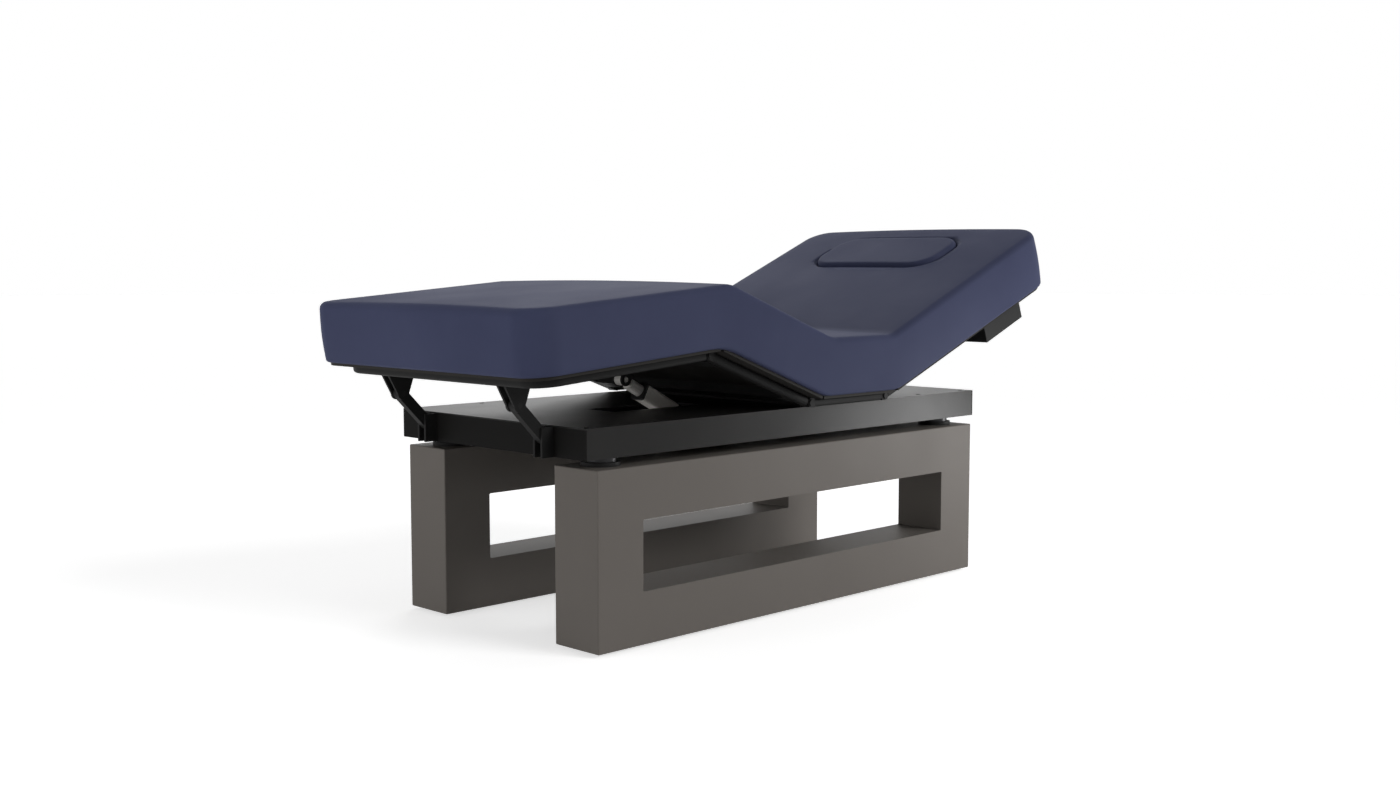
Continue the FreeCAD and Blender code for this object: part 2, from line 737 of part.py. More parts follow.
def build_seat():
    """The seat section, fixed on the platform, with the hinge pins of its two neighbours."""
    rail_length = "seat_length - 2 * rail_end_gap"
    node("seat_rails", "seat", *[tube(side, rail_length, "rail_end_gap") for side in SIDES])
    floor = "-rail_height / 2 - frame_clearance"
    node("seat_crossbars", "seat",
         crossbar("crossbar_end_gap + crossbar_width / 2", floor),
         crossbar("seat_length - crossbar_end_gap - crossbar_width / 2", floor))
    node("seat_board", "seat", straight_board("hip_board_gap", "seat_length - back_board_gap"))
    blocks, pins = [], []
    for side in SIDES:
        blocks.append(knuckle(side, "outer", "0", 1))
        blocks.append(knuckle(side, "outer", "seat_length", -1))
        pins.append(hinge_pin(side, "0"))
        pins.append(hinge_pin(side, "seat_length"))
    node("seat_hinge_blocks", "seat", *blocks)
    node("seat_hinge_pins", "seat", *pins)
    length = value("seat_length")
    gap = value("pad_gap")
    hip_lean = value("thigh_angle") / 2
    back_lean = value("back_limit") / 2
    rest_lean = value("back_angle") / 2
    blank = straight_cushion(-length, 2 * length)
    node("seat_pad", "seat", form(blank.common(slab(gap, hip_lean, length - gap, -back_lean))))
    seat_side = blank.common(slab(length, -back_lean, length, -rest_lean))
    back_side = straight_cushion(-length, length).common(slab(0, rest_lean, 0, back_lean))
    back_side.rotate(Vector(), Vector(0, 1, 0), -value("back_angle"))
    back_side.translate(Vector(length, 0, 0))
    node("back_bend_foam", "seat", form(seat_side.fuse(back_side)))


def build_thigh():
    """The thigh section, hinged at the hip and carrying the knee hinge."""
    rail_length = "thigh_length - 2 * rail_end_gap"
    node("thigh_rails", "thigh",
         *[tube(side, rail_length, "-thigh_length + rail_end_gap") for side in SIDES])
    bottom = "-rail_height / 2"
    node("thigh_crossbars", "thigh",
         crossbar("-crossbar_end_gap - crossbar_width / 2", bottom),
         crossbar("-actuator_lug_along", bottom))
    node("thigh_board", "thigh",
         straight_board("-thigh_length + hinge_end_clearance", "-hip_board_gap"))
    blocks, pins = [], []
    for side in SIDES:
        blocks.append(knuckle(side, "inner", "0", -1))
        blocks.append(knuckle(side, "outer", "-thigh_length", 1))
        pins.append(hinge_pin(side, "-thigh_length"))
    node("thigh_hinge_blocks", "thigh", *blocks)
    node("knee_hinge_pins", "thigh", *pins)
    length = value("thigh_length")
    gap = value("pad_gap")
    hip_lean = value("thigh_angle") / 2
    blank = straight_cushion(-length, length)
    node("thigh_pad", "thigh", form(blank.common(slab(-length + gap, 0, -gap, -hip_lean))))
    section = [face for face in blank.Faces if abs(face.BoundBox.XMax + length) < 0.01][0]
    bend = section.revolve(Vector(-length, 0, 0), Vector(0, 1, 0), -value("thigh_angle + leg_angle"))
    node("knee_bend_foam", "thigh", form(bend))
    cheeks = []
    for side in SIDES:
        low = "-rail_height / 2"
        inner = "actuator_cheek_y"
        y = "actuator_y + " + across(side, inner, inner + " + cheek_thickness")
        plate = box("2 * lug_eye_radius", "cheek_thickness", "actuator_lug_drop + " + low,
                    "-actuator_lug_along - lug_eye_radius", y, "-actuator_lug_drop")
        eye = bar("lug_eye_radius", "cheek_thickness", "-actuator_lug_along", y,
                  "-actuator_lug_drop", "y")
        hole = bar("pivot_pin_radius + actuator_pivot_clearance", "cheek_thickness",
                   "-actuator_lug_along", y, "-actuator_lug_drop", "y")
        cheeks.append(cut(fuse(plate, eye), hole))
    node("knee_actuator_lug", "thigh", *cheeks)


def corner_bend(side):
    """A quarter bend of the rail section, between a side rail and the end rail."""
    outer_x = value("-leg_length + end_rail_inset")
    turn = value("rail_turn")
    rounding = value("rail_rounding")
    width = value("rail_width")
    height = value("rail_height")
    wall = value("rail_wall")
    centre = Vector(outer_x + turn, side * (value("rail_outer") - turn), 0)
    shell = Part.makeBox(1, width, height)
    shell = shell.makeFillet(rounding, [e for e in shell.Edges if e.BoundBox.XLength > 0.5])
    inside = Part.makeBox(1, width - 2 * wall, height - 2 * wall, Vector(0, wall, wall))
    section = [f for f in shell.cut(inside).Faces if abs(f.BoundBox.XMax) < 0.01][0]
    low_y = value("rail_outer") - width if side > 0 else -value("rail_outer")
    section.translate(Vector(centre.x, low_y, -height / 2))
    return section.revolve(centre, Vector(0, 0, 1), side * 90)


def build_leg():
    """The leg section: a rail bent round the foot end, hinged at the knee."""
    turn = "rail_turn"
    end_x = "-leg_length + end_rail_inset"
    rail_start = "%s + %s" % (end_x, turn)
    node("leg_side_rails", "leg",
         *[tube(side, "-rail_end_gap - (%s)" % rail_start, rail_start) for side in SIDES])
    node("leg_corner_bends", "leg", *[form(corner_bend(side)) for side in SIDES])
    straight = "rail_outer - (%s)" % turn
    shell = rounded(middle_box("rail_width", straight, "rail_height", end_x, "-rail_height / 2"),
                    "rail_rounding", "y")
    inside = middle_box("rail_width - 2 * rail_wall", straight, "rail_height - 2 * rail_wall",
                        end_x + " + rail_wall", "-rail_height / 2 + rail_wall")
    node("leg_end_rail", "leg", cut(shell, inside))
    bottom = "-rail_height / 2"
    node("leg_crossbars", "leg",
         crossbar("-crossbar_end_gap - crossbar_width / 2", bottom),
         crossbar("-strut_lug_along / 2", bottom),
         middle_box("strut_bar_width", straight, "rail_height", end_x + " + rail_width", bottom))
    node("leg_hinge_blocks", "leg", *[knuckle(side, "inner", "0", -1) for side in SIDES])
    length = value("leg_length")
    node("leg_board", "leg", form(board(-value("hinge_end_clearance"),
                                        -length + value("board_inset"))))
    hinge = -value("pad_gap")
    cushion = end_cushion(hinge, -length, value("pad_base"))
    node("leg_pad", "leg", form(softened(cushion, (hinge,), value("pad_base"))))
    cheeks, pins = [], []
    for side in SIDES:
        for face in SIDES:
            y = "%d * strut_y + %s" % (side, across(face, "strut_cheek_y",
                                                    "strut_cheek_y + cheek_thickness"))
            plate = flared("cheek_thickness", "-strut_lug_drop", "-rail_height / 2",
                           "-strut_lug_along - lug_eye_radius", "-strut_lug_along + lug_eye_radius",
                           "-strut_lug_along - lug_flare / 2", "-strut_lug_along + lug_flare / 2", y)
            eye = bar("lug_eye_radius", "cheek_thickness", "-strut_lug_along", y,
                      "-strut_lug_drop", "y")
            hole = bar("pivot_pin_radius + running_clearance", "cheek_thickness",
                       "-strut_lug_along", y, "-strut_lug_drop", "y")
            cheeks.append(cut(fuse(plate, eye), hole))
        pins.append(bar("pivot_pin_radius", "2 * (strut_cheek_y + cheek_thickness)",
                        "-strut_lug_along",
                        "%d * strut_y - strut_cheek_y - cheek_thickness" % side,
                        "-strut_lug_drop", "y"))
    node("strut_lugs", "leg", *cheeks)
    node("strut_top_pins", "leg", *pins)


def build_struts():
    """Swing struts at the foot end, their brackets on the end plate and the pivot pins there."""
    struts, brackets, pins = [], [], []
    for side in SIDES:
        y = "%d * strut_y - strut_thickness / 2" % side
        blade = box("strut_length", "strut_thickness", "strut_depth", "-strut_length", y,
                    "-strut_depth / 2")
        ends = [bar("strut_depth / 2", "strut_thickness", x, y, "0", "y")
                for x in ("0", "-strut_length")]
        base_hole = bar("pivot_pin_radius + running_clearance", "strut_thickness", "0", y, "0", "y")
        slot_radius = "pivot_pin_radius + strut_slot_clearance"
        slot = fuse(
            bar(slot_radius, "strut_thickness", "-strut_length", y, "0", "y"),
            bar(slot_radius, "strut_thickness", "-strut_length + strut_slot_run", y, "0", "y"),
            box("strut_slot_run", "strut_thickness", "2 * (%s)" % slot_radius, "-strut_length", y,
                "-(%s)" % slot_radius))
        struts.append(cut(fuse(blade, *ends), base_hole, slot))
        for face in SIDES:
            cheek_y = "%d * strut_y + %s" % (side, across(face, "strut_cheek_y",
                                                          "strut_cheek_y + cheek_thickness"))
            cheek = box("strut_base_gap + lug_eye_radius", "cheek_thickness", "beam_height",
                        "strut_base_x - lug_eye_radius", cheek_y, "platform_bottom")
            hole = bar("pivot_pin_radius + running_clearance", "cheek_thickness", "strut_base_x",
                       cheek_y, "strut_base_z", "y")
            brackets.append(cut(cheek, hole))
        pins.append(bar("pivot_pin_radius", "2 * (strut_cheek_y + cheek_thickness)", "strut_base_x",
                        "%d * strut_y - strut_cheek_y - cheek_thickness" % side,
                        "strut_base_z", "y"))
    node("swing_struts", "strut", *struts)
    node("strut_brackets", "base", *brackets)
    return pins


def build_knee_actuator(strut_pins):
    """The linear actuator between a hanger under the platform and the lug below the knee."""
    hangers = []
    for side in SIDES:
        inner = "actuator_cheek_y"
        y = "actuator_y + " + across(side, inner, inner + " + cheek_thickness")
        plate = box("2 * actuator_eye_radius", "cheek_thickness", "actuator_base_drop",
                    "actuator_base_x - actuator_eye_radius", y, "actuator_base_z")
        eye = bar("actuator_eye_radius", "cheek_thickness", "actuator_base_x", y,
                  "actuator_base_z", "y")
        hole = bar("pivot_pin_radius + running_clearance", "cheek_thickness", "actuator_base_x", y,
                   "actuator_base_z", "y")
        hangers.append(cut(fuse(plate, eye), hole))
    node("knee_actuator_hanger", "base", *hangers)
    pin_length = "2 * (actuator_cheek_y + cheek_thickness)"
    pin_y = "actuator_y - actuator_cheek_y - cheek_thickness"
    base_pin = bar("pivot_pin_radius", pin_length, "actuator_base_x", pin_y, "actuator_base_z", "y")
    node("platform_pivot_pins", "base", base_pin, *strut_pins)
    eye_y = "actuator_y - actuator_eye_width / 2"
    eye = bar("actuator_eye_radius", "actuator_eye_width", "0", eye_y, "0", "y")
    stem = box("gearbox_start", "actuator_eye_width", "actuator_eye_radius", "-gearbox_start", eye_y,
               "-actuator_eye_radius / 2")
    gearbox = rounded(box("housing_start - gearbox_start", "gearbox_width", "gearbox_depth",
                          "-housing_start", "actuator_y - gearbox_width / 2", "-gearbox_depth / 2"),
                      "housing_rounding", "x")
    pin_hole = bar("pivot_pin_radius + running_clearance", "actuator_eye_width", "0", eye_y, "0", "y")
    motor = bar("motor_radius", "motor_length", "-motor_start - motor_length", "actuator_y",
                "-gearbox_depth / 2 - motor_radius + motor_overlap", "x")
    rod_tail = bar("actuator_rod_radius + cheek_clearance", "housing_end_gap", "-housing_start",
                   "actuator_y", "0", "x")
    node("knee_actuator_motor", "actuator",
         cut(fuse(eye, stem, gearbox, motor), pin_hole, rod_tail))
    body = rounded(box("housing_length", "housing_width", "housing_depth", "-housing_end",
                       "actuator_y - housing_width / 2", "-housing_depth / 2"),
                   "housing_rounding", "x")
    bore = bar("actuator_rod_radius + running_clearance", "housing_length", "-housing_end",
               "actuator_y", "0", "x")
    node("knee_actuator_housing", "actuator", cut(body, bore))
    collar_box = rounded(
        box("collar_ring_length", "housing_width + 2 * collar_ring_overhang",
            "housing_depth + 2 * collar_ring_overhang", "-housing_end - collar_ring_length",
            "actuator_y - housing_width / 2 - collar_ring_overhang",
            "-housing_depth / 2 - collar_ring_overhang"), "housing_rounding", "x")
    collar_hole = bar("actuator_rod_radius + cheek_clearance", "collar_ring_length",
                      "-housing_end - collar_ring_length", "actuator_y", "0", "x")
    node("knee_actuator_collar", "actuator", cut(collar_box, collar_hole))
    shaft = bar("actuator_rod_radius", "actuator_rod_engagement - actuator_rod_neck",
                "-actuator_length + actuator_rod_neck", "actuator_y", "0", "x")
    neck = box("actuator_rod_neck + cheek_thickness", "actuator_eye_width - 2 * cheek_clearance",
               "actuator_eye_radius", "-actuator_length",
               "actuator_y - actuator_eye_width / 2 + cheek_clearance", "-actuator_eye_radius / 2")
    head = bar("actuator_eye_radius", "actuator_eye_width", "-actuator_length", eye_y, "0", "y")
    cross_pin = bar("pivot_pin_radius", pin_length, "-actuator_length", pin_y, "0", "y")
    node("knee_actuator_rod", "actuator", fuse(shaft, neck, head, cross_pin))


def build_back_actuator():
    """The linear actuator inside the platform, whose cross pin drives a slotted crank."""
    start = "middle_beam_x + middle_beam_width / 2"
    body = bar("back_housing_radius", "back_housing_length", start, "crank_offset", "crank_pin_z", "x")
    bore = bar("back_rod_radius + running_clearance", "back_housing_length",
               start + " + 2 * beam_wall", "crank_offset", "crank_pin_z", "x")
    node("back_actuator_housing", "base", cut(body, bore))
    shaft = bar("back_rod_radius", "back_rod_engagement", "crank_pin_x - back_rod_engagement",
                "crank_offset", "crank_pin_z", "x")
    head = bar("back_rod_eye_radius", "back_rod_eye_width", "crank_pin_x",
               "crank_offset - back_rod_eye_width / 2", "crank_pin_z", "y")
    cross_pin = bar("pivot_pin_radius", "2 * (crank_cheek_y + cheek_thickness)", "crank_pin_x",
                    "crank_offset - crank_cheek_y - cheek_thickness", "crank_pin_z", "y")
    node("back_actuator_rod", "base", fuse(shaft, head, cross_pin))


def build_crank():
    """Two slotted cheeks under the back frame, leaning towards the foot."""
    cheeks = []
    lean = value("crank_lean")
    for side in SIDES:
        y = "crank_offset + " + across(side, "crank_cheek_y", "crank_cheek_y + cheek_thickness")
        root = box("crank_root + crank_width / 2", "cheek_thickness", "crank_root_depth",
                   "-crank_width / 2", y, "-rail_height / 2 - crank_root_depth")
        arm = doc.addObject("Part::Compound", "Piece")
        slot_width = "2 * (pivot_pin_radius + crank_slot_clearance)"
        blade = box("crank_width", "cheek_thickness", "crank_tip - rail_height / 2",
                    "-crank_width / 2", y, "-crank_tip")
        slot = box(slot_width, "cheek_thickness", "crank_slot_end - crank_slot_start",
                   "-(%s) / 2" % slot_width, y, "-crank_slot_end")
        ends = [bar("pivot_pin_radius + crank_slot_clearance", "cheek_thickness", "0", y, z, "y")
                for z in ("-crank_slot_start", "-crank_slot_end")]
        arm.Links = [cut(blade, fuse(slot, *ends))]
        arm.Placement = Placement(Vector(), Rotation(Vector(0, 1, 0), lean))
        arm.setExpression("Placement.Rotation.Angle", bound("crank_lean"))
        cheeks.append(fuse(root, arm))
    node("back_crank", "back", *cheeks)


def leaned(solid, lean):
    """Lean a solid up towards the head, about the back hinge line."""
    solid.rotate(Vector(), Vector(0, 1, 0), -lean)
    return solid


def build_back():
    """The back section, with the face opening, its plug and the well below it."""
    rail_end = "well_start - hinge_end_clearance"
    node("back_rails", "back",
         *[tube(side, "(%s) - rail_end_gap" % rail_end, "rail_end_gap") for side in SIDES])
    bottom = "-rail_height / 2"
    node("back_crossbars", "back",
         crossbar("crossbar_end_gap + crossbar_width / 2", bottom),
         crossbar("well_start - crossbar_end_gap - crossbar_width / 2", bottom))
    node("back_hinge_blocks", "back", *[knuckle(side, "inner", "0", 1) for side in SIDES])
    build_crank()
    length = value("back_length")
    gap = value("pad_gap")
    middle = value("plug_middle")
    base = value("pad_base")
    crest = value("pad_crest")
    plate = board(value("back_board_gap"), length - value("board_inset"))
    opening = Part.makeBox(
        value("face_hole_length"), value("face_hole_width"), crest,
        Vector(value("face_hole_start"), -value("face_hole_width") / 2, 0))
    node("back_board", "back", form(plate.cut(opening)))
    hole = (value("plug_length"), value("plug_width"), value("plug_corner"))
    lean = value("back_pad_lean")
    depth = value("groove_depth")
    groove_low = crest + middle * tan(radians(lean)) - depth
    groove = 2 * value("groove_width")
    wide = [hole[0] + 2 * groove, hole[1] + 2 * groove, hole[2] + groove]
    flare = Part.makeLoft([oblong(*hole, middle, groove_low),
                           oblong(*wide, middle, groove_low + 2 * depth)], True, True)
    below = Part.makeBox(3 * length, value("pad_width"), crest,
                         Vector(-length, -value("pad_width / 2"), base - crest))
    cushion = end_cushion(0, length, value("back_pad_base")).cut(leaned(below, -lean))
    cushion = leaned(softened(cushion, (0,), value("back_pad_base")), lean)
    cushion = cushion.common(slab(gap, value("back_limit") / 2, 2 * length, 0))
    cushion = cushion.cut(oblong_block(*hole, middle, base - groove, 2 * crest))
    node("back_pad", "back", form(cushion.cut(flare)))
    clearance = value("plug_clearance")
    plug = (hole[0] - 2 * clearance, hole[1] - 2 * clearance, hole[2] - clearance)
    board_top = base + value("plug_board_thickness")
    node("face_plug_board", "back", form(oblong_block(*plug, middle, base, board_top)))
    plug_top = crest + value("plug_rise")
    block = oblong_block(*plug, middle, board_top, 2 * crest)
    above = Part.makeBox(2 * length, value("pad_width"), 2 * crest,
                         Vector(0, -value("pad_width / 2"), plug_top))
    block = block.cut(leaned(above, lean))
    rim = [edge for edge in block.Edges if edge.BoundBox.ZMin > crest]
    node("face_plug_pad", "back", form(block.makeFillet(value("plug_rounding"), rim)))
    well = middle_box("well_length", "well_width / 2", "well_depth", "well_start",
                      "rail_height / 2 - well_depth")
    inside = middle_box("well_length - 2 * well_wall", "well_width / 2 - well_wall", "well_depth",
                        "well_start + well_wall", "rail_height / 2 - well_depth + well_wall")
    node("face_well", "back", cut(well, inside))


def build_electrics():
    """The control box under the head cover, and the mains inlet and handset socket at the head."""
    node("control_box", "base",
         box("control_box_length", "control_box_width", "control_box_height",
             "column_x - column_beam_width / 2 - control_box_gap - control_box_length",
             "-beam_inner_y / 2 - control_box_width / 2",
             "platform_top - cover_thickness - control_box_height"))
    inlet_x = "platform_length / 2"
    inlet_z = "platform_bottom + beam_height / 2 - inlet_height / 2"
    block = rounded(box("inlet_depth", "inlet_width", "inlet_height", inlet_x, "-inlet_offset",
                        inlet_z), "inlet_rim", "x")
    recess = box("inlet_recess", "inlet_width - 2 * inlet_rim", "inlet_height - 2 * inlet_rim",
                 inlet_x + " + inlet_depth - inlet_recess", "-inlet_offset + inlet_rim",
                 inlet_z + " + inlet_rim")
    socket_y = "-inlet_offset + inlet_width + socket_spacing"
    socket_z = "platform_bottom + beam_height / 2"
    collar = bar("socket_radius", "socket_depth", inlet_x, socket_y, socket_z, "x")
    hole = bar("socket_radius - inlet_rim", "socket_depth", inlet_x + " + inlet_rim", socket_y,
               socket_z, "x")
    node("end_sockets", "base", cut(block, recess), cut(collar, hole))


def build():
    """Build every sub-part, check it and write its file."""
    build_pedestals()
    build_columns()
    build_platform()
    build_seat()
    build_thigh()
    build_leg()
    strut_pins = build_struts()
    build_knee_actuator(strut_pins)
    build_back_actuator()
    build_back()
    build_electrics()
    doc.recompute()
    for piece in doc.Objects:
        if "Invalid" in piece.State or "Error" in piece.State:
            raise RuntimeError("%s failed: %s" % (piece.Label, piece.State))
    for part in nodes:
        if part.Shape.isNull() or not part.Shape.isValid() or not part.Shape.Solids:
            raise RuntimeError("%s has no valid solid" % part.Label)
    os.makedirs("parts", exist_ok=True)
    for part in nodes:
        part.Shape.exportStep("parts/%s.step" % part.Label)
    print("%d sub-parts written" % len(nodes))


build()
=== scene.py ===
"""Electric spa table: vinyl mattress, face plug, finishes and studio, round the CAD frame."""

import json
from math import cos, pi, radians, sin
from types import SimpleNamespace

import bmesh
import bpy
import numpy as np
from bpy.props import FloatProperty, FloatVectorProperty, PointerProperty
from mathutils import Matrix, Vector


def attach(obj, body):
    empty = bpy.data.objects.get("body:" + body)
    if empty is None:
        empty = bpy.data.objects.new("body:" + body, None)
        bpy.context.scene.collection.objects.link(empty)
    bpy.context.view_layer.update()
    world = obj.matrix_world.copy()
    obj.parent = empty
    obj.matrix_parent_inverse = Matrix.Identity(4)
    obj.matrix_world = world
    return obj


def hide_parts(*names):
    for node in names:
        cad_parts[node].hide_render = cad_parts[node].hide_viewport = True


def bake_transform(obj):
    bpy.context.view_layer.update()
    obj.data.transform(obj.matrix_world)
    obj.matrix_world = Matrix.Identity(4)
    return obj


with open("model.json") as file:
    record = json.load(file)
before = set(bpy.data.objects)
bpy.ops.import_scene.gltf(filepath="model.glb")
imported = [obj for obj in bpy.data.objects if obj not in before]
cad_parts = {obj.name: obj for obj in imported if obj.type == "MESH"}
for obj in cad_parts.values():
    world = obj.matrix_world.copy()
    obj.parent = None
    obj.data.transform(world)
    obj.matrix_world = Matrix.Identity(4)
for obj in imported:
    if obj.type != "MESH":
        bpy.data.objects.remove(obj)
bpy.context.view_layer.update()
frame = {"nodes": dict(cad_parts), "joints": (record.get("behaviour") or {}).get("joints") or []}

bl_info = {
    "name": "Electric spa table",
    "version": (1, 0, 0),
    "blender": (4, 5, 0),
    "location": "View3D > Sidebar > Spa table",
    "description": "Vinyl mattress, face plug, finishes and studio for an electric spa table",
    "category": "Object",
}

JOINTS = {joint["name"]: joint for joint in frame["joints"]}
PLUG_AXIS = JOINTS["plug_lift"]["axis"]
BACK_ANGLE = float(np.arctan2(-PLUG_AXIS[0], PLUG_AXIS[2]))  # the plug lifts square to the back

# The hinge lines' places in the side view's lists, between the foot end and the head end.
KNEE, HIP, BACK = 1, 2, 3

# Reaches to either side of the knee line and of the other hinge lines, in metres.
KNEE_BLEND, HINGE_BLEND = 0.10, 0.07

# How finely the mattress is divided: along, across and round its corners, closer within a span of
# each hinge line, and over its top, walls, rounded edges and underside.
ALONG_STEPS, ACROSS_STEPS, CORNER_STEPS = 170, 30, 14
HINGE_STEPS, HINGE_SPAN = 37, 0.09
TOP_STEPS, WALL_STEPS, EDGE_STEPS, UNDER_STEPS = 16, 10, 7, 6

# The same for the face plug, and the rounding of its bottom edge in metres.
PLUG_ALONG_STEPS, PLUG_ACROSS_STEPS, PLUG_CORNER_STEPS = 20, 60, 16
PLUG_TOP_STEPS, PLUG_WALL_STEPS = 12, 8
PLUG_BOTTOM_ROUNDING = 0.003

# The rounded lip of the face opening, and how far its cutter reaches past the mattress in metres.
LIP_STEPS, LIP_SWEEP = 8, radians(68)
CUT_BELOW, CUT_ABOVE = 0.02, 0.03

# Points and edges that count as one, in metres.
DOUBLE_DISTANCE, SLIVER_LENGTH = 2e-5, 1e-6

# Bump depths of paint grain and of vinyl, in metres.
GRAIN_DEPTH, PEBBLE_DEPTH = 0.0004, 0.0003

# A colour Mix node's sockets, whose names are shared with its other kinds.
MIX_FACTOR, MIX_FIRST, MIX_SECOND, MIX_RESULT = 0, 6, 7, 2

# Floor disc in metres, and the camera's sensor in millimetres.
FLOOR_RADIUS, FLOOR_STEPS = 40, 96
SENSOR_WIDTH = 36


def length(name, description, default):
    """A size in metres."""
    return FloatProperty(name=name, description=description, default=default, unit="LENGTH",
                         precision=4)


def angle(name, description, default):
    """An angle, given in degrees and kept in radians."""
    return FloatProperty(name=name, description=description, default=radians(default),
                         unit="ROTATION")


def colour(name, description, default):
    """A linear colour of a finish."""
    return FloatVectorProperty(name=name, description=description, default=default,
                               subtype="COLOR", size=3, min=0, max=1)


def strength(name, description, default):
    """A sun's strength in watts per square metre."""
    return FloatProperty(name=name, description=description, default=default)


def power(name, description, default):
    """A lamp's power in watts."""
    return FloatProperty(name=name, description=description, default=default, unit="POWER")


def share(name, description, default):
    """A share from none to all."""
    return FloatProperty(name=name, description=description, default=default, subtype="FACTOR",
                         min=0, max=1)


class SpaMattressSizes(bpy.types.PropertyGroup):
    """Sizes of the vinyl mattress, flat and at its bends."""

    leg_length: length("Leg length", "Mattress from the foot end to the knee line", 0.542)
    back_length: length("Back length", "Mattress from the back hinge line to the head end", 0.745)
    leg_angle: angle("Leg angle", "Slope of the leg section at rest", 4.6)
    back_lean: angle("Back lean", "How much more the back's top slopes than its underside", 1.1)
    half_width: length("Half width", "Half of the mattress's width", 0.410)
    base: length("Base height", "Mattress underside above the hinge lines", 0.018)
    thickness: length("Edge thickness", "Thickness at the long edges", 0.139)
    crown: length("Crown", "How much thicker the middle is than the long edges", 0.005)
    draw_in: length("Draw-in", "How far the sides pull in at the underside", 0.004)
    puff: length("Side puff", "How far the sides stand out at mid height", 0.0025)
    corner: length("Corner radius", "Foot and head corners seen from above", 0.074)
    top_rounding: length("Top rounding", "Rounding of the top edge", 0.016)
    bottom_rounding: length("Bottom rounding", "Rounding of the bottom edge", 0.008)
    knee_top: length("Knee reach, top", "Half length of the bend over the knee", 0.020)
    knee_bottom: length("Knee reach, underside", "Half length of the bend below the knee", 0.040)
    hip_top: length("Hip reach, top", "Half length of the bend over the hip", 0.026)
    hip_bottom: length("Hip reach, underside", "Half length of the bend below the hip", 0.024)
    back_top: length("Back reach, top", "Half length of the bend over the back hinge", 0.022)
    back_bottom: length("Back reach, underside", "Half length of the bend below it", 0.026)


class SpaPlugSizes(bpy.types.PropertyGroup):
    """Sizes of the face opening and its plug."""

    start: length("Start", "Opening's near edge, measured from the back hinge line", 0.453)
    opening: length("Length", "Opening along the mattress", 0.205)
    width: length("Width", "Opening across the mattress", 0.430)
    corner: length("Corner radius", "Rounding of the opening's corners", 0.075)
    clearance: length("Clearance", "Gap between plug and opening", 0.0015)
    rise: length("Rise", "How far the plug stands above the mattress", 0.008)
    rounding: length("Rounding", "Rounding of the plug's top edge", 0.012)
    board: length("Board thickness", "Plug's own board", 0.008)
    groove: length("Groove", "Width and depth of the rounded edge round the opening", 0.012)


class SpaColours(bpy.types.PropertyGroup):
    """Colours of the finishes, linear."""

    vinyl: colour("Vinyl", "Mattress cover", (0.049, 0.056, 0.108))
    laminate: colour("Laminate", "Pedestals", (0.141, 0.128, 0.116))
    platform: colour("Platform paint", "Beams and covers of the platform", (0.011, 0.0107, 0.0104))
    # The end plates' colour is the platform paint made darker, as painted shade on the end faces.
    end_plate_painted_shade: colour("End plate paint with painted shade", "End plates of the platform", (0.007, 0.0068, 0.0066))
    frame: colour("Frame paint", "Rails, hinges, pins, lugs and struts", (0.013, 0.013, 0.013))
    steel: colour("Steel", "Blackened lift posts", (0.030, 0.030, 0.031))
    aluminium: colour("Aluminium", "Lift drives and column sleeves", (0.50, 0.50, 0.51))
    # Actuator tubes and rods are light grey, and these colours are raised past it as painted light,
    # for light that doesn't reach them under the mattress.
    actuator: colour("Actuator grey with painted light", "Actuator tubes", (0.88, 0.85, 0.80))
    rod: colour("Rod grey with painted light", "Painted actuator rods", (0.68, 0.66, 0.63))
    board: colour("Board stain", "Plywood boards under the mattress", (0.016, 0.015, 0.014))
    plastic: colour("Black plastic", "Collars, glides, boxes and sockets", (0.014, 0.014, 0.014))


class SpaStudio(bpy.types.PropertyGroup):
    """Camera and light."""

    camera_x: length("Camera x", "Camera's place along the table", -2.820)
    camera_y: length("Camera y", "Camera's place across the table", -2.751)
    camera_height: length("Camera height", "Camera's height above the floor", 0.839)
    azimuth: angle("Azimuth", "Camera's turn round the table", -45.19)
    elevation: angle("Elevation", "How far the camera looks down", 4.88)
    lens: FloatProperty(name="Lens", description="Focal length in millimetres", default=39.52,
                        unit="CAMERA")
    side_power: strength("Side power", "Broad low sun from the long side that is seen", 1.50)
    sky_power: strength("Sky power", "Very broad light from above", 0.32)
    foot_power: power("Foot power", "Soft lamp beyond the foot end", 64.0)
    head_power: power("Head power", "Small low soft box near the head end", 6.3)
    rear_power: power("Rear power", "Soft box that the back section mirrors", 22.0)
    ambient: share("Ambient", "Brightness of the white room on the object", 0.09)
    floor_glow: share("Floor glow", "What the floor adds to its own light where seen", 0.61)
    floor_colour: colour("Floor", "Studio floor", (0.92, 0.92, 0.92))


def settings(name):
    """One of the scene's groups of sizes or colours."""
    return getattr(bpy.context.scene, name)


def joint_line(joint):
    """A hinge line's place in the side view: along the table and up."""
    place = JOINTS[joint]["pos_m"]
    return np.array((place[0], place[2]))


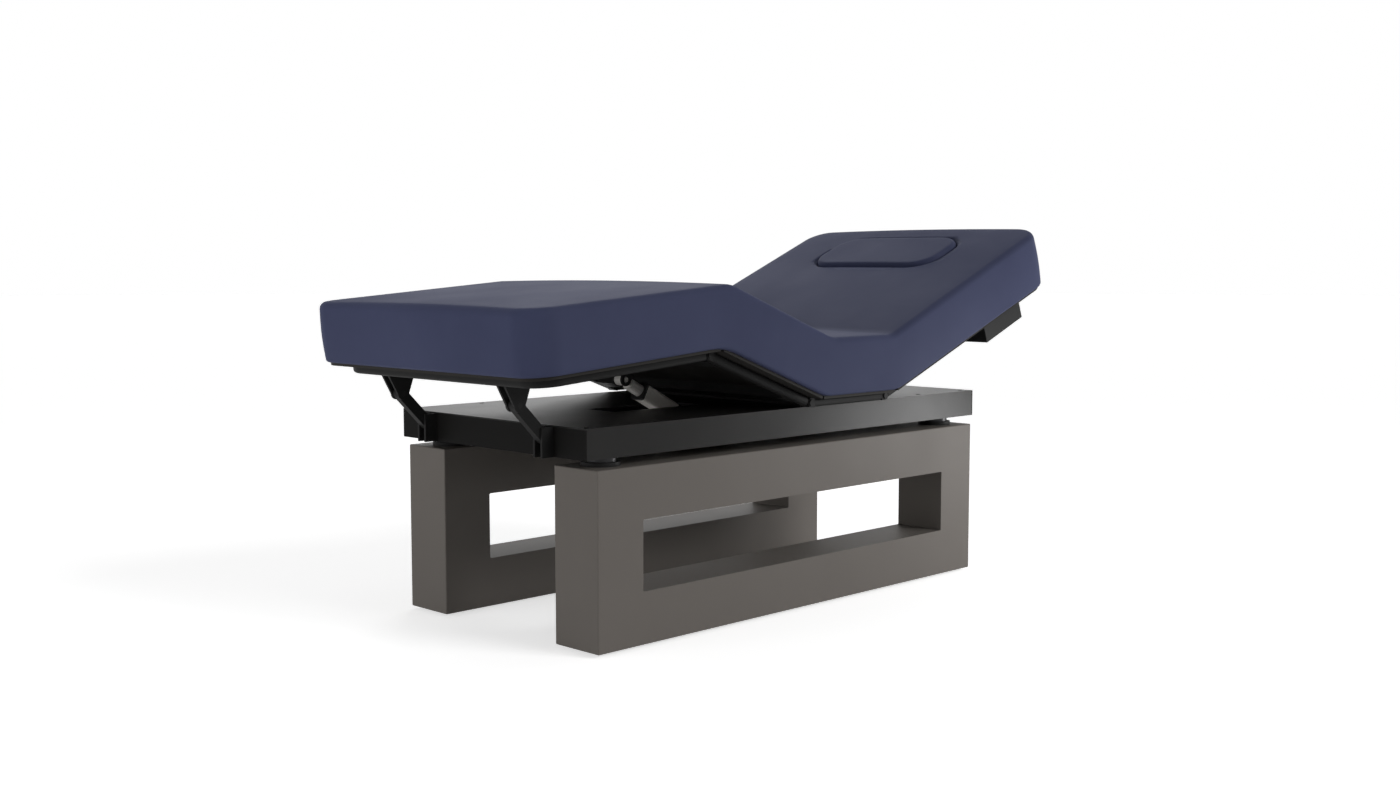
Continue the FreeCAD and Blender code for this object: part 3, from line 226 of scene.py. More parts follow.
class SideView:
    """The mattress's four straight sections in the side view, joined at three hinge lines.

    marks are the flat places of the foot end, the knee, hip and back hinge lines and the head end.
    points are where they are at rest. mitres carry a point of the joint lines up by one metre of
    mattress height: square to the section at the ends, and along the line that halves the two
    sections' angle at a hinge line.
    """

    def __init__(self, sizes):
        knee, hip, back = (joint_line(name) for name in ("knee_bend", "thigh_tilt", "back_tilt"))
        leg_way = np.array((cos(sizes.leg_angle), sin(sizes.leg_angle)))
        back_way = np.array((cos(BACK_ANGLE), sin(BACK_ANGLE)))
        self.points = np.array((knee - sizes.leg_length * leg_way, knee, hip, back,
                                back + sizes.back_length * back_way))
        steps = np.diff(self.points, axis=0)
        self.lengths = np.linalg.norm(steps, axis=1)
        self.marks = np.concatenate(((0,), np.cumsum(self.lengths)))
        ways = steps / self.lengths[:, None]
        ups = np.stack((-ways[:, 1], ways[:, 0]), axis=1)
        before = np.vstack((ups[:1], ups))
        after = np.vstack((ups, ups[-1:]))
        self.mitres = (before + after) / (1 + np.sum(before * after, axis=1))[:, None]
        self.back_way, self.back_up = ways[-1], ups[-1]
        self.base = sizes.base
        self.height = sizes.thickness + sizes.crown
        self.wedge = np.tan(sizes.back_lean)
        self.reaches = ((sizes.knee_bottom, sizes.knee_top), (sizes.hip_bottom, sizes.hip_top),
                        (sizes.back_bottom, sizes.back_top))

    def bent(self, along, height):
        """Where flat places go: each height has its own line of four straights that meet on the
        mitres, and within a reach of each hinge line that corner is a quadratic Bezier curve that
        starts and ends on the straights. The reach goes from the underside's value to the top's
        with height."""
        level = np.clip((height.ravel() - self.base) / self.height, 0, 1)
        corners = self.points[:, None] + height.ravel()[None, :, None] * self.mitres[:, None]
        corners[-1] += (level * self.wedge * self.lengths[-1])[:, None] * self.back_up
        flat = along.ravel()
        rows = np.arange(flat.size)
        last = self.lengths.size - 1
        part = np.clip(np.searchsorted(self.marks, flat, side="right") - 1, 0, last)
        onward = ((flat - self.marks[part]) / self.lengths[part])[:, None]
        place = corners[part, rows] * (1 - onward) + corners[part + 1, rows] * onward
        for hinge, (low, high) in enumerate(self.reaches, start=KNEE):
            reach = low + (high - low) * level
            turn = ((flat - self.marks[hinge]) / reach + 1)[:, None] / 2
            apex = corners[hinge]
            to_start = (reach / self.lengths[hinge - 1])[:, None]
            to_stop = (reach / self.lengths[hinge])[:, None]
            start = apex + (corners[hinge - 1] - apex) * to_start
            stop = apex + (corners[hinge + 1] - apex) * to_stop
            curve = (1 - turn) ** 2 * start + 2 * turn * (1 - turn) * apex + turn ** 2 * stop
            place = np.where((turn > 0) & (turn < 1), curve, place)
        return place[:, 0].reshape(along.shape), place[:, 1].reshape(along.shape)

    def on_back(self, along, height):
        """Where places on the back section go, square to its board, with its top rising as a
        wedge."""
        level = np.clip((height - self.base) / self.height, 0, None)
        rise = height + level * self.wedge * along
        return tuple(self.points[BACK][axis] + along * self.back_way[axis]
                     + rise * self.back_up[axis] for axis in (0, 1))


def rounded_rings(start, stop, half_width, corner, insets, along, across, corner_steps):
    """Rings round a rounded rectangle, each moved in by its inset: two long sides at the given
    places along, two ends at the given places across and four quarter circles. Past the corner
    radius the quarter circles shrink to the mitred corners, and side points that a ring has no room
    for gather there."""
    inset = np.asarray(insets)[:, None]
    centre = np.maximum(corner, inset)
    radius = np.maximum(corner - inset, 0)
    quarter = np.linspace(0, pi / 2, corner_steps)[None, :]
    side = np.clip(along[None, :], start + inset, stop - inset)
    room = half_width - inset
    end = np.clip(across[None, :], -room, room)
    ones_side = np.ones_like(side)
    ones_end = np.ones_like(end)
    pieces = []
    for turn, edge_along, edge_across in (
            (-pi / 2, side, -room * ones_side),
            (0, (stop - inset) * ones_end, end),
            (pi / 2, side[:, ::-1], room * ones_side),
            (pi, (start + inset) * ones_end, end[:, ::-1])):
        pieces.append((edge_along, edge_across))
        middle_along = np.where(cos(turn + pi / 4) > 0, stop - centre, start + centre)
        middle_across = np.where(sin(turn + pi / 4) > 0, half_width - centre, centre - half_width)
        pieces.append((middle_along + radius * np.cos(quarter + turn),
                       middle_across + radius * np.sin(quarter + turn)))
    return tuple(np.concatenate(grids, axis=1) for grids in zip(*pieces))


def grid_faces(rings, around):
    """Quads between neighbouring rings, each ring closed on itself."""
    ring, step = np.meshgrid(np.arange(rings - 1), np.arange(around), indexing="ij")
    ring, step = ring.ravel(), step.ravel()
    onward = (step + 1) % around
    return np.stack((ring * around + step, ring * around + onward,
                     (ring + 1) * around + onward, (ring + 1) * around + step), axis=1)


def grid_places(*grids):
    """One row per point, from grids of its three coordinates."""
    return np.stack(grids, axis=2).reshape(-1, 3)


def cushion_profile(sizes, top_steps, wall_steps):
    """Insets, heights and crown shares of a cushion's rings, from the middle of the underside out,
    up the side and in to the middle of the top. Quarter circles round both edges, and between them
    the side stands out by a half sine wave."""
    low, high = sizes.base, sizes.base + sizes.thickness
    draw, bottom, top = sizes.draw_in, sizes.bottom_rounding, sizes.top_rounding
    turn = np.linspace(0, pi / 2, EDGE_STEPS)
    rise = np.linspace(0, 1, wall_steps)[1:-1]
    under = np.linspace(sizes.half_width, draw + bottom, UNDER_STEPS)[:-1]
    over = np.linspace(top, sizes.half_width, top_steps)[1:]
    insets = np.concatenate((
        under, draw + bottom * (1 - np.sin(turn)),
        draw * (1 - rise) - sizes.puff * np.sin(pi * rise), top * (1 - np.cos(turn)), over))
    heights = np.concatenate((
        np.full(under.size, low), low + bottom * (1 - np.cos(turn)),
        low + bottom + (high - top - low - bottom) * rise, high - top + top * np.sin(turn),
        np.full(over.size, high)))
    shares = np.concatenate((
        np.zeros(under.size + turn.size + rise.size), np.sin(turn), np.ones(over.size)))
    return insets, heights, shares


def crowned(heights, shares, across, sizes):
    """Heights of rings at places across: each ring's own, and its share of the crown, a parabola
    that is zero at the long edges."""
    crown = sizes.crown * (1 - (across / sizes.half_width) ** 2)
    return heights[:, None] + shares[:, None] * crown


def mesh_object(name, places, faces):
    """A closed mesh object from arrays of places and faces. The rings' double points are merged,
    and open rims are filled and kept sharp."""
    used, packed = np.unique(faces, return_inverse=True)
    mesh = bpy.data.meshes.new(name)
    mesh.from_pydata(places[used].tolist(), [], packed.reshape(faces.shape).tolist())
    work = bmesh.new()
    work.from_mesh(mesh)
    bmesh.ops.remove_doubles(work, verts=work.verts, dist=DOUBLE_DISTANCE)
    bmesh.ops.dissolve_degenerate(work, edges=work.edges, dist=SLIVER_LENGTH)
    rim = [edge for edge in work.edges if edge.is_boundary]
    if rim:
        bmesh.ops.holes_fill(work, edges=rim, sides=0)
    for edge in rim:
        edge.smooth = False
    bmesh.ops.recalc_face_normals(work, faces=work.faces)
    for face in work.faces:
        face.smooth = True
    work.to_mesh(mesh)
    work.free()
    piece = bpy.data.objects.new(name, mesh)
    bpy.context.scene.collection.objects.link(piece)
    return piece


def cut_out(piece, cutter):
    """Takes the cutter's shape out of a piece, for good, and removes the cutter."""
    cutting = piece.modifiers.new("Opening", "BOOLEAN")
    cutting.operation = "DIFFERENCE"
    cutting.solver = "EXACT"
    cutting.object = cutter
    graph = bpy.context.evaluated_depsgraph_get()
    mesh = bpy.data.meshes.new_from_object(piece.evaluated_get(graph))
    piece.modifiers.clear()
    piece.data = mesh
    bpy.data.objects.remove(cutter)


def plug_solid(name, view, grow, insets, heights, shares):
    """A solid in the face opening: rings of the opening's rounded rectangle, grown all round, at
    their heights above the back section's board."""
    plug = settings("spa_plug")
    start, stop = plug.start - grow, plug.start + plug.opening + grow
    half, corner = plug.width / 2 + grow, plug.corner + grow
    along = np.linspace(start + corner, stop - corner, PLUG_ALONG_STEPS)[1:-1]
    across = np.linspace(-half + corner, half - corner, PLUG_ACROSS_STEPS)[1:-1]
    flat, width = rounded_rings(start, stop, half, corner, insets, along, across,
                                PLUG_CORNER_STEPS)
    x, z = view.on_back(flat, crowned(heights, shares, width, settings("spa_mattress")))
    return mesh_object(name, grid_places(x, width, z), grid_faces(*flat.shape))


def opening_cutter(view):
    """What the face opening takes out of the mattress: a straight well with a rounded lip, a
    quarter circle that stops short of level, so that a fine welt line stays round the opening."""
    sizes, plug = settings("spa_mattress"), settings("spa_plug")
    turn = np.linspace(0, LIP_SWEEP, LIP_STEPS)
    lip = plug.groove * (1 - np.cos(turn))
    top = sizes.base + sizes.thickness
    middle = plug.opening / 2 + lip[-1]
    insets = lip[-1] - np.concatenate((
        (lip[-1] - middle, 0), lip, (lip[-1], lip[-1] - middle)))
    heights = np.concatenate((
        (sizes.base - CUT_BELOW,) * 2, top - plug.groove * (1 - np.sin(turn)),
        (top + CUT_ABOVE,) * 2))
    shares = np.concatenate(((0, 0), np.ones(turn.size + 2)))
    return plug_solid("opening_cutter", view, lip[-1], insets, heights, shares)


class SPA_OT_mattress(bpy.types.Operator):
    """Vinyl mattress in three pieces, shaped with bends over the knee, the hip and the back hinge
    """

    bl_idname = "spa.mattress"
    bl_label = "Mattress"

    def execute(self, context):
        sizes = settings("spa_mattress")
        view = SideView(sizes)
        end = view.marks[-1]
        leg_cut = (view.marks[KNEE] + view.marks[HIP]) / 2
        seat_cut = (view.marks[HIP] + view.marks[BACK]) / 2
        around = np.linspace(-HINGE_SPAN, HINGE_SPAN, HINGE_STEPS)
        along = np.unique(np.concatenate((
            np.linspace(sizes.corner, end - sizes.corner, ALONG_STEPS)[1:-1], (leg_cut, seat_cut),
            *[mark + around for mark in view.marks[KNEE:BACK + 1]])))
        side = sizes.half_width - sizes.corner
        across = np.linspace(-side, side, ACROSS_STEPS)[1:-1]
        insets, heights, shares = cushion_profile(sizes, TOP_STEPS, WALL_STEPS)
        flat, width = rounded_rings(0, end, sizes.half_width, sizes.corner, insets, along, across,
                                    CORNER_STEPS)
        x, z = view.bent(flat, crowned(heights, shares, width, sizes))
        places = grid_places(x, width, z)
        faces = grid_faces(*flat.shape)
        middles = flat.ravel()[faces].mean(axis=1)
        finish = vinyl_material()
        for name, low, high, nodes in (
                ("mattress_leg", -np.inf, leg_cut, ("leg_pad", "knee_bend_foam")),
                ("mattress_middle", leg_cut, seat_cut, ("thigh_pad", "seat_pad")),
                ("mattress_back", seat_cut, np.inf, ("back_bend_foam", "back_pad"))):
            piece = mesh_object(name, places, faces[(middles > low) & (middles < high)])
            if name == "mattress_back":
                cut_out(piece, opening_cutter(view))
            piece.data.materials.clear()
            piece.data.materials.append(finish)
            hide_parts(*nodes)
        self.bend(view)
        return {"FINISHED"}

    def bend(self, view):
        """Bakes each piece's transform into its mesh."""
        for name, first, second, hinge, reach in (
                ("mattress_leg", "leg_section", "thigh_section", KNEE, KNEE_BLEND),
                ("mattress_middle", "thigh_section", "platform", HIP, HINGE_BLEND),
                ("mattress_back", "platform", "back_section", BACK, HINGE_BLEND)):
            before = view.points[hinge] - view.points[hinge - 1]
            after = view.points[hinge + 1] - view.points[hinge]
            way = before / np.linalg.norm(before) + after / np.linalg.norm(after)
            way = way / np.linalg.norm(way) * reach
            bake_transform(bpy.data.objects[name])


class SPA_OT_face_plug(bpy.types.Operator):
    """Padded plug that fills the face opening and stands a little proud of the mattress"""

    bl_idname = "spa.face_plug"
    bl_label = "Face plug"

    def execute(self, context):
        sizes, plug = settings("spa_mattress"), settings("spa_plug")
        cushion = SimpleNamespace(
            base=sizes.base + plug.board, thickness=sizes.thickness + plug.rise - plug.board,
            half_width=plug.opening / 2 - plug.clearance, draw_in=0.0, puff=0.0,
            top_rounding=plug.rounding, bottom_rounding=PLUG_BOTTOM_ROUNDING)
        profile = cushion_profile(cushion, PLUG_TOP_STEPS, PLUG_WALL_STEPS)
        piece = plug_solid("face_plug_cushion", SideView(sizes), -plug.clearance, *profile)
        piece.data.materials.append(vinyl_material())
        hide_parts("face_plug_pad")
        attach(piece, "face_plug")
        return {"FINISHED"}


def add_node(tree, kind, **values):
    """A node with its properties set by name and its inputs set by socket name."""
    node = tree.nodes.new(kind)
    sockets = values.pop("sockets", {})
    for name, value in values.items():
        setattr(node, name, value)
    for name, value in sockets.items():
        node.inputs[name].default_value = value
    return node


def new_group(name, inputs, outputs):
    """An empty node group with named inputs (kind and default) and outputs."""
    group = bpy.data.node_groups.new(name, "ShaderNodeTree")
    for label, kind, default in inputs:
        socket = group.interface.new_socket(label, in_out="INPUT", socket_type=kind)
        if default is not None:
            socket.default_value = default
    for label, kind in outputs:
        group.interface.new_socket(label, in_out="OUTPUT", socket_type=kind)
    given = group.nodes.new("NodeGroupInput").outputs
    return group, given, group.nodes.new("NodeGroupOutput").inputs


def finish_group():
    """Slow drift of colour and gloss over a surface, and a fine grain for its bump."""
    known = bpy.data.node_groups.get("Finish drift")
    if known:
        return known
    group, given, result = new_group(
        "Finish drift",
        (("Vector", "NodeSocketVector", None), ("Colour", "NodeSocketColor", None),
         ("Worn colour", "NodeSocketColor", None), ("Drift scale", "NodeSocketFloat", 3.0),
         ("Gloss low", "NodeSocketFloat", 0.4), ("Gloss high", "NodeSocketFloat", 0.5),
         ("Grain scale", "NodeSocketFloat", 900.0)),
        (("Colour", "NodeSocketColor"), ("Roughness", "NodeSocketFloat"),
         ("Height", "NodeSocketFloat")))
    link = group.links.new
    drift = add_node(group, "ShaderNodeTexNoise", sockets={"Detail": 4.0, "Roughness": 0.6})
    link(given["Vector"], drift.inputs["Vector"])
    link(given["Drift scale"], drift.inputs["Scale"])
    mask = add_node(group, "ShaderNodeMapRange", sockets={"From Min": 0.35, "From Max": 0.7})
    link(drift.outputs["Fac"], mask.inputs["Value"])
    mix = add_node(group, "ShaderNodeMix", data_type="RGBA")
    link(mask.outputs["Result"], mix.inputs[MIX_FACTOR])
    link(given["Colour"], mix.inputs[MIX_FIRST])
    link(given["Worn colour"], mix.inputs[MIX_SECOND])
    link(mix.outputs[MIX_RESULT], result["Colour"])
    gloss = add_node(group, "ShaderNodeMapRange")
    link(mask.outputs["Result"], gloss.inputs["Value"])
    link(given["Gloss low"], gloss.inputs["To Min"])
    link(given["Gloss high"], gloss.inputs["To Max"])
    link(gloss.outputs["Result"], result["Roughness"])
    grain = add_node(group, "ShaderNodeTexNoise", sockets={"Detail": 2.0, "Roughness": 0.5})
    link(given["Vector"], grain.inputs["Vector"])
    link(given["Grain scale"], grain.inputs["Scale"])
    link(grain.outputs["Fac"], result["Height"])
    return group


def pebble_group():
    """Embossed vinyl grain: rounded cells of uneven size, softened by half as much fine noise."""
    known = bpy.data.node_groups.get("Vinyl pebble")
    if known:
        return known
    group, given, result = new_group(
        "Vinyl pebble",
        (("Vector", "NodeSocketVector", None), ("Cell scale", "NodeSocketFloat", 700.0)),
        (("Height", "NodeSocketFloat"),))
    link = group.links.new
    cells = add_node(group, "ShaderNodeTexVoronoi", feature="SMOOTH_F1",
                     sockets={"Smoothness": 0.6})
    noise = add_node(group, "ShaderNodeTexNoise", sockets={"Detail": 2.0})
    for texture in (cells, noise):
        link(given["Vector"], texture.inputs["Vector"])
        link(given["Cell scale"], texture.inputs["Scale"])
    blend = add_node(group, "ShaderNodeMath", operation="MULTIPLY_ADD")
    fine, amount, coarse = blend.inputs
    amount.default_value = 0.5
    link(noise.outputs["Fac"], fine)
    link(cells.outputs["Distance"], coarse)
    link(blend.outputs["Value"], result["Height"])
    return group


def new_material(name, **sockets):
    """A material with a Principled BSDF, its inputs set by name; returns it and its shader."""
    material = bpy.data.materials.new(name)
    material.use_nodes = True
    shader = material.node_tree.nodes["Principled BSDF"]
    for label, value in sockets.items():
        shader.inputs[label.replace("_", " ")].default_value = value
    return material, shader


def object_places(tree, stretch=None):
    """Object coordinates, stretched where a grain runs one way."""
    places = add_node(tree, "ShaderNodeTexCoord").outputs["Object"]
    if stretch is None:
        return places
    mapping = add_node(tree, "ShaderNodeMapping", sockets={"Scale": stretch})
    tree.links.new(places, mapping.inputs["Vector"])
    return mapping.outputs["Vector"]


def add_drift(tree, shader, places, paint, worn, gloss, drift_scale):
    """Places the drift group in a material, joined to colour and roughness, and returns it. The
    worn colour is the paint times a factor."""
    drift = add_node(tree, "ShaderNodeGroup", node_tree=finish_group(), sockets={
        "Colour": (*paint, 1), "Worn colour": (*(min(1, part * worn) for part in paint), 1),
        "Drift scale": drift_scale, "Gloss low": gloss[0], "Gloss high": gloss[1]})
    tree.links.new(places, drift.inputs["Vector"])
    tree.links.new(drift.outputs["Colour"], shader.inputs["Base Color"])
    tree.links.new(drift.outputs["Roughness"], shader.inputs["Roughness"])
    return drift


def add_bump(tree, shader, height, amount, depth):
    """A bump from a height into the shader's normal."""
    bump = add_node(tree, "ShaderNodeBump", sockets={"Strength": amount, "Distance": depth})
    tree.links.new(height, bump.inputs["Height"])
    tree.links.new(bump.outputs["Normal"], shader.inputs["Normal"])


def vinyl_material():
    """Navy upholstery vinyl: a soft satin coat over a fine pebble grain."""
    known = bpy.data.materials.get("Vinyl")
    if known:
        return known
    material, shader = new_material("Vinyl", Specular_IOR_Level=0.08)
    tree = material.node_tree
    places = object_places(tree)
    add_drift(tree, shader, places, settings("spa_colours").vinyl, worn=0.9, gloss=(0.64, 0.72),
              drift_scale=2.5)
    pebble = add_node(tree, "ShaderNodeGroup", node_tree=pebble_group(),
                      sockets={"Cell scale": 650.0})
    tree.links.new(places, pebble.inputs["Vector"])
    add_bump(tree, shader, pebble.outputs["Height"], 0.25, PEBBLE_DEPTH)
    return material


def finish_material(name, paint, worn, gloss, drift_scale, grain_scale, grain_strength,
                    stretch=None, **sockets):
    """A rigid finish: colour and gloss that drift over the surface, and a fine grain."""
    material, shader = new_material(name, **sockets)
    tree = material.node_tree
    drift = add_drift(tree, shader, object_places(tree, stretch), paint, worn, gloss, drift_scale)
    drift.inputs["Grain scale"].default_value = grain_scale
    add_bump(tree, shader, drift.outputs["Height"], grain_strength, GRAIN_DEPTH)
    return material


def dress(material, *nodes):
    """Gives CAD nodes a material."""
    for name in nodes:
        piece = frame["nodes"][name]
        if not piece.material_slots:
            piece.data.materials.append(material)
        for place in piece.material_slots:
            place.material = material


class SPA_OT_pedestals(bpy.types.Operator):
    """Taupe laminate on the pedestals, black plastic on glides, collars, boxes and sockets"""

    bl_idname = "spa.pedestals"
    bl_label = "Pedestals"

    def execute(self, context):
        paints = settings("spa_colours")
        laminate = finish_material(
            "Taupe laminate", paints.laminate, worn=0.93, gloss=(0.46, 0.52), drift_scale=2.0,
            grain_scale=1400.0, grain_strength=0.10, Specular_IOR_Level=0.12)
        dress(laminate, "pedestal_left", "pedestal_right")
        plastic = finish_material(
            "Black plastic", paints.plastic, worn=1.25, gloss=(0.42, 0.52), drift_scale=6.0,
            grain_scale=1800.0, grain_strength=0.15, Specular_IOR_Level=0.1)
        dress(plastic, "levelling_glides", "column_collars", "guide_bushes", "control_box",
              "end_sockets", "face_well")
        return {"FINISHED"}


class SPA_OT_columns(bpy.types.Operator):
    """Steel of the lift columns and aluminium of their drives"""

    bl_idname = "spa.columns"
    bl_label = "Lift columns"

    def execute(self, context):
        paints = settings("spa_colours")
        steel = finish_material(
            "Post steel", paints.steel, worn=0.85, gloss=(0.30, 0.40), drift_scale=5.0,
            grain_scale=300.0, grain_strength=0.06, stretch=(8, 8, 0.2), Metallic=1.0)
        dress(steel, "column_posts")
        aluminium = finish_material(
            "Drive aluminium", paints.aluminium, worn=0.9, gloss=(0.35, 0.45), drift_scale=5.0,
            grain_scale=500.0, grain_strength=0.06, Metallic=1.0)
        dress(aluminium, "column_sleeves", "lift_drives")
        return {"FINISHED"}


class SPA_OT_platform(bpy.types.Operator):
    """Satin black paint on the platform's beams and covers, and a duller copy darkened as painted
    shade on its end plates
    """

    bl_idname = "spa.platform"
    bl_label = "Platform"

    def execute(self, context):
        paints = settings("spa_colours")
        satin = finish_material(
            "Platform paint", paints.platform, worn=1.3, gloss=(0.30, 0.36), drift_scale=2.5,
            grain_scale=2200.0, grain_strength=0.12, Specular_IOR_Level=0.11)
        dress(satin, "platform_side_beams", "platform_crossbeams", "platform_cover_foot",
              "platform_cover_sides", "platform_cover_head", "cover_screws")
        # The end plates get a duller, darker copy of the platform paint; its darker colour is
        # painted shade on the end faces.
        shaded_end_paint = finish_material(
            "End plate paint with painted shade", paints.end_plate_painted_shade, worn=1.3, gloss=(0.45, 0.55), drift_scale=2.5,
            grain_scale=2200.0, grain_strength=0.12, Specular_IOR_Level=0.03)
        dress(shaded_end_paint, "platform_end_plates")
        return {"FINISHED"}


class SPA_OT_top_frame(bpy.types.Operator):
    """Black powder coat on the top's rails, hinges, lugs and struts, and stain on its boards"""

    bl_idname = "spa.top_frame"
    bl_label = "Top frame"

    def execute(self, context):
        paints = settings("spa_colours")
        coat = finish_material(
            "Frame powder coat", paints.frame, worn=1.4, gloss=(0.45, 0.55), drift_scale=5.0,
            grain_scale=2600.0, grain_strength=0.2, Specular_IOR_Level=0.06)
        dress(coat, "seat_rails", "seat_crossbars", "seat_hinge_blocks", "strut_brackets",
              "knee_actuator_hanger", "thigh_rails", "thigh_crossbars", "thigh_hinge_blocks",
              "knee_actuator_lug", "leg_side_rails", "leg_corner_bends", "leg_end_rail",
              "leg_crossbars", "leg_hinge_blocks", "strut_lugs", "swing_struts", "back_rails",
              "back_crossbars", "back_hinge_blocks", "back_crank")
        stain = finish_material(
            "Board stain", paints.board, worn=1.5, gloss=(0.5, 0.65), drift_scale=4.0,
            grain_scale=260.0, grain_strength=0.2, stretch=(0.15, 1, 4), Specular_IOR_Level=0.08)
        dress(stain, "seat_board", "thigh_board", "leg_board", "back_board", "face_plug_board")
        pins = finish_material(
            "Pin steel", paints.frame, worn=1.6, gloss=(0.45, 0.55), drift_scale=9.0,
            grain_scale=900.0, grain_strength=0.08, Specular_IOR_Level=0.08)
        dress(pins, "seat_hinge_pins", "knee_hinge_pins", "platform_pivot_pins", "strut_top_pins")
        return {"FINISHED"}


class SPA_OT_actuators(bpy.types.Operator):
    """Grey tubes and rods, lightened as painted light, and dark motors of the knee and back
    actuators
    """

    bl_idname = "spa.actuators"
    bl_label = "Actuators"

    def execute(self, context):
        paints = settings("spa_colours")
        # The tube colour is light grey raised further as painted light, for light that doesn't
        # reach under the mattress.
        tubes = finish_material(
            "Actuator grey with painted light", paints.actuator, worn=0.9, gloss=(0.32, 0.42), drift_scale=8.0,
            grain_scale=1500.0, grain_strength=0.1)
        dress(tubes, "knee_actuator_housing", "back_actuator_housing")
        motors = finish_material(
            "Actuator black", paints.plastic, worn=1.3, gloss=(0.35, 0.45), drift_scale=8.0,
            grain_scale=1500.0, grain_strength=0.12, Specular_IOR_Level=0.2)
        dress(motors, "knee_actuator_motor", "knee_actuator_collar")
        # The rod colour is a grey raised further as painted light, for light that doesn't reach
        # under the mattress.
        rods = finish_material(
            "Rod grey with painted light", paints.rod, worn=0.9, gloss=(0.40, 0.50), drift_scale=8.0,
            grain_scale=500.0, grain_strength=0.05)
        dress(rods, "knee_actuator_rod", "back_actuator_rod")
        return {"FINISHED"}


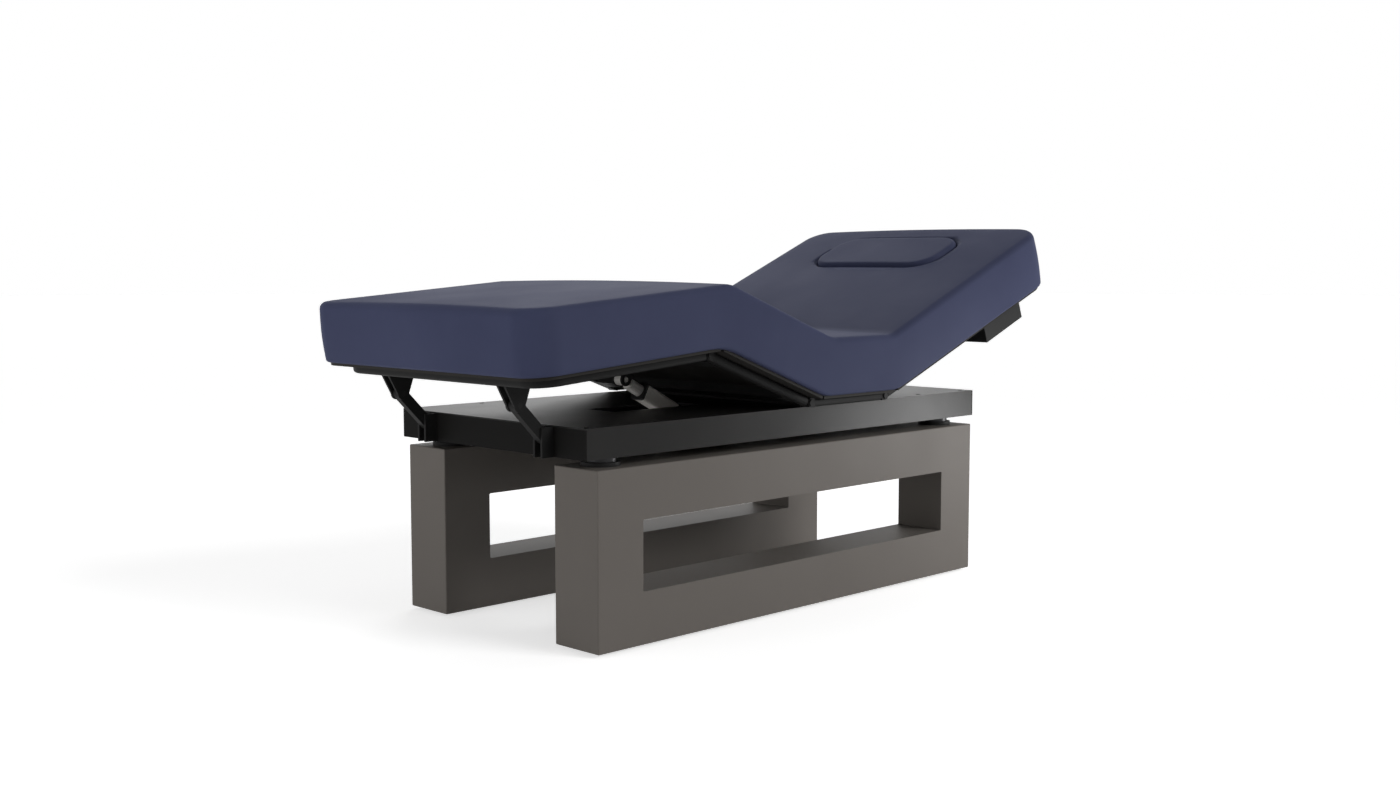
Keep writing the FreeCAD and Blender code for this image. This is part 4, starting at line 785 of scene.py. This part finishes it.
class SPA_OT_stage(bpy.types.Operator):
    """Pale floor, soft lamps, white room and the camera"""

    bl_idname = "spa.stage"
    bl_label = "Studio"

    def execute(self, context):
        studio = settings("spa_studio")
        context.scene.view_settings.view_transform = "Standard"
        self.floor(studio)
        self.room(context, studio)
        self.lamps(studio)
        self.camera(context, studio)
        return {"FINISHED"}

    def floor(self, studio):
        """A wide plain disc; what the camera sees of it is white, less the object's shadow."""
        around = np.linspace(0, 2 * pi, FLOOR_STEPS, endpoint=False)
        rim = np.stack((np.cos(around), np.sin(around), np.zeros_like(around)), axis=1)
        mesh = bpy.data.meshes.new("studio_floor")
        mesh.from_pydata((rim * FLOOR_RADIUS).tolist(), [], [list(range(around.size))])
        floor = bpy.data.objects.new("studio_floor", mesh)
        bpy.context.scene.collection.objects.link(floor)
        material, shader = new_material(
            "Studio floor", Base_Color=(*studio.floor_colour, 1), Roughness=0.9,
            Specular_IOR_Level=0.1, Emission_Strength=studio.floor_glow)
        tree = material.node_tree
        tree.links.new(self.seen(tree), shader.inputs["Emission Color"])
        mesh.materials.append(material)

    def room(self, context, studio):
        """A white world: full white to the camera and to reflections, dimmer on the object."""
        world = bpy.data.worlds.new("white_room")
        world.use_nodes = True
        tree = world.node_tree
        back = tree.nodes["Background"]
        back.inputs["Color"].default_value = (1, 1, 1, 1)
        level = add_node(tree, "ShaderNodeMapRange",
                         sockets={"To Min": studio.ambient, "To Max": 1.0})
        tree.links.new(self.seen(tree), level.inputs["Value"])
        tree.links.new(level.outputs["Result"], back.inputs["Strength"])
        context.scene.world = world

    def seen(self, tree):
        """One for rays of the camera, of reflections and through glass, zero for the others."""
        path = add_node(tree, "ShaderNodeLightPath")
        total = path.outputs["Is Camera Ray"]
        for kind in ("Is Glossy Ray", "Is Transmission Ray"):
            either = add_node(tree, "ShaderNodeMath", operation="MAXIMUM")
            tree.links.new(total, either.inputs[0])
            tree.links.new(path.outputs[kind], either.inputs[1])
            total = either.outputs["Value"]
        return total

    def lamps(self, studio):
        """Two broad suns, and three square lamps at their places. The foot lamp stays out of
        reflections."""
        for name, power, place, spread in (
                ("side_sun", studio.side_power, (0.30, -0.85, 0.43), 30),
                ("sky_sun", studio.sky_power, (0, 0.2, 1), 70)):
            sun = self.lamp(name, "SUN", power, place, (0, 0, 0))
            sun.data.angle = radians(spread)
        for name, power, place, target, size in (
                ("foot_lamp", studio.foot_power, (-4.2, 0.5, 0.62), (-0.9, 0, 0.5), 2.0),
                ("head_lamp", studio.head_power, (1.42, -1.08, 0.28), (0.45, -0.38, 0.40), 0.3),
                ("rear_lamp", studio.rear_power, (2.0, 2.26, 2.5), (0.5, 0, 0.8), 2.2)):
            lamp = self.lamp(name, "AREA", power, place, target)
            lamp.data.size = size
            lamp.visible_glossy = name != "foot_lamp"

    def lamp(self, name, kind, power, place, target):
        """A lamp of a kind that points at a target, unseen by the camera."""
        data = bpy.data.lights.new(name, kind)
        data.energy = power
        lamp = bpy.data.objects.new(name, data)
        lamp.location = place
        lamp.visible_camera = False
        way = Vector(target) - Vector(place)
        lamp.rotation_euler = way.to_track_quat("-Z", "Y").to_euler()
        bpy.context.scene.collection.objects.link(lamp)
        return lamp

    def camera(self, context, studio):
        """The camera at the photograph's place, turn and lens."""
        data = bpy.data.cameras.new("camera")
        data.sensor_fit = "HORIZONTAL"
        data.sensor_width = SENSOR_WIDTH
        data.lens = studio.lens
        camera = bpy.data.objects.new("camera", data)
        camera.location = (studio.camera_x, studio.camera_y, studio.camera_height)
        camera.rotation_euler = (pi / 2 - studio.elevation, 0, studio.azimuth)
        context.scene.collection.objects.link(camera)
        context.scene.camera = camera


PIECES = (SPA_OT_mattress, SPA_OT_face_plug, SPA_OT_pedestals, SPA_OT_columns, SPA_OT_platform,
          SPA_OT_top_frame, SPA_OT_actuators, SPA_OT_stage)


class SPA_PT_table(bpy.types.Panel):
    """Lists the table's pieces"""

    bl_label = "Spa table"
    bl_idname = "SPA_PT_table"
    bl_space_type = "VIEW_3D"
    bl_region_type = "UI"
    bl_category = "Spa table"

    def draw(self, context):
        for piece in PIECES:
            self.layout.operator(piece.bl_idname)


GROUPS = {"spa_mattress": SpaMattressSizes, "spa_plug": SpaPlugSizes, "spa_colours": SpaColours,
          "spa_studio": SpaStudio}


def register():
    """Registers the classes and puts the groups of sizes on the scene."""
    for kind in (*GROUPS.values(), *PIECES, SPA_PT_table):
        bpy.utils.register_class(kind)
    for name, kind in GROUPS.items():
        setattr(bpy.types.Scene, name, PointerProperty(type=kind))


def unregister():
    """Takes away what register made."""
    for name in GROUPS:
        delattr(bpy.types.Scene, name)
    for kind in reversed((*GROUPS.values(), *PIECES, SPA_PT_table)):
        bpy.utils.unregister_class(kind)


def main():
    register()
    for piece in PIECES:
        family, name = piece.bl_idname.split(".")
        getattr(getattr(bpy.ops, family), name)()


if __name__ == "__main__":
    main()
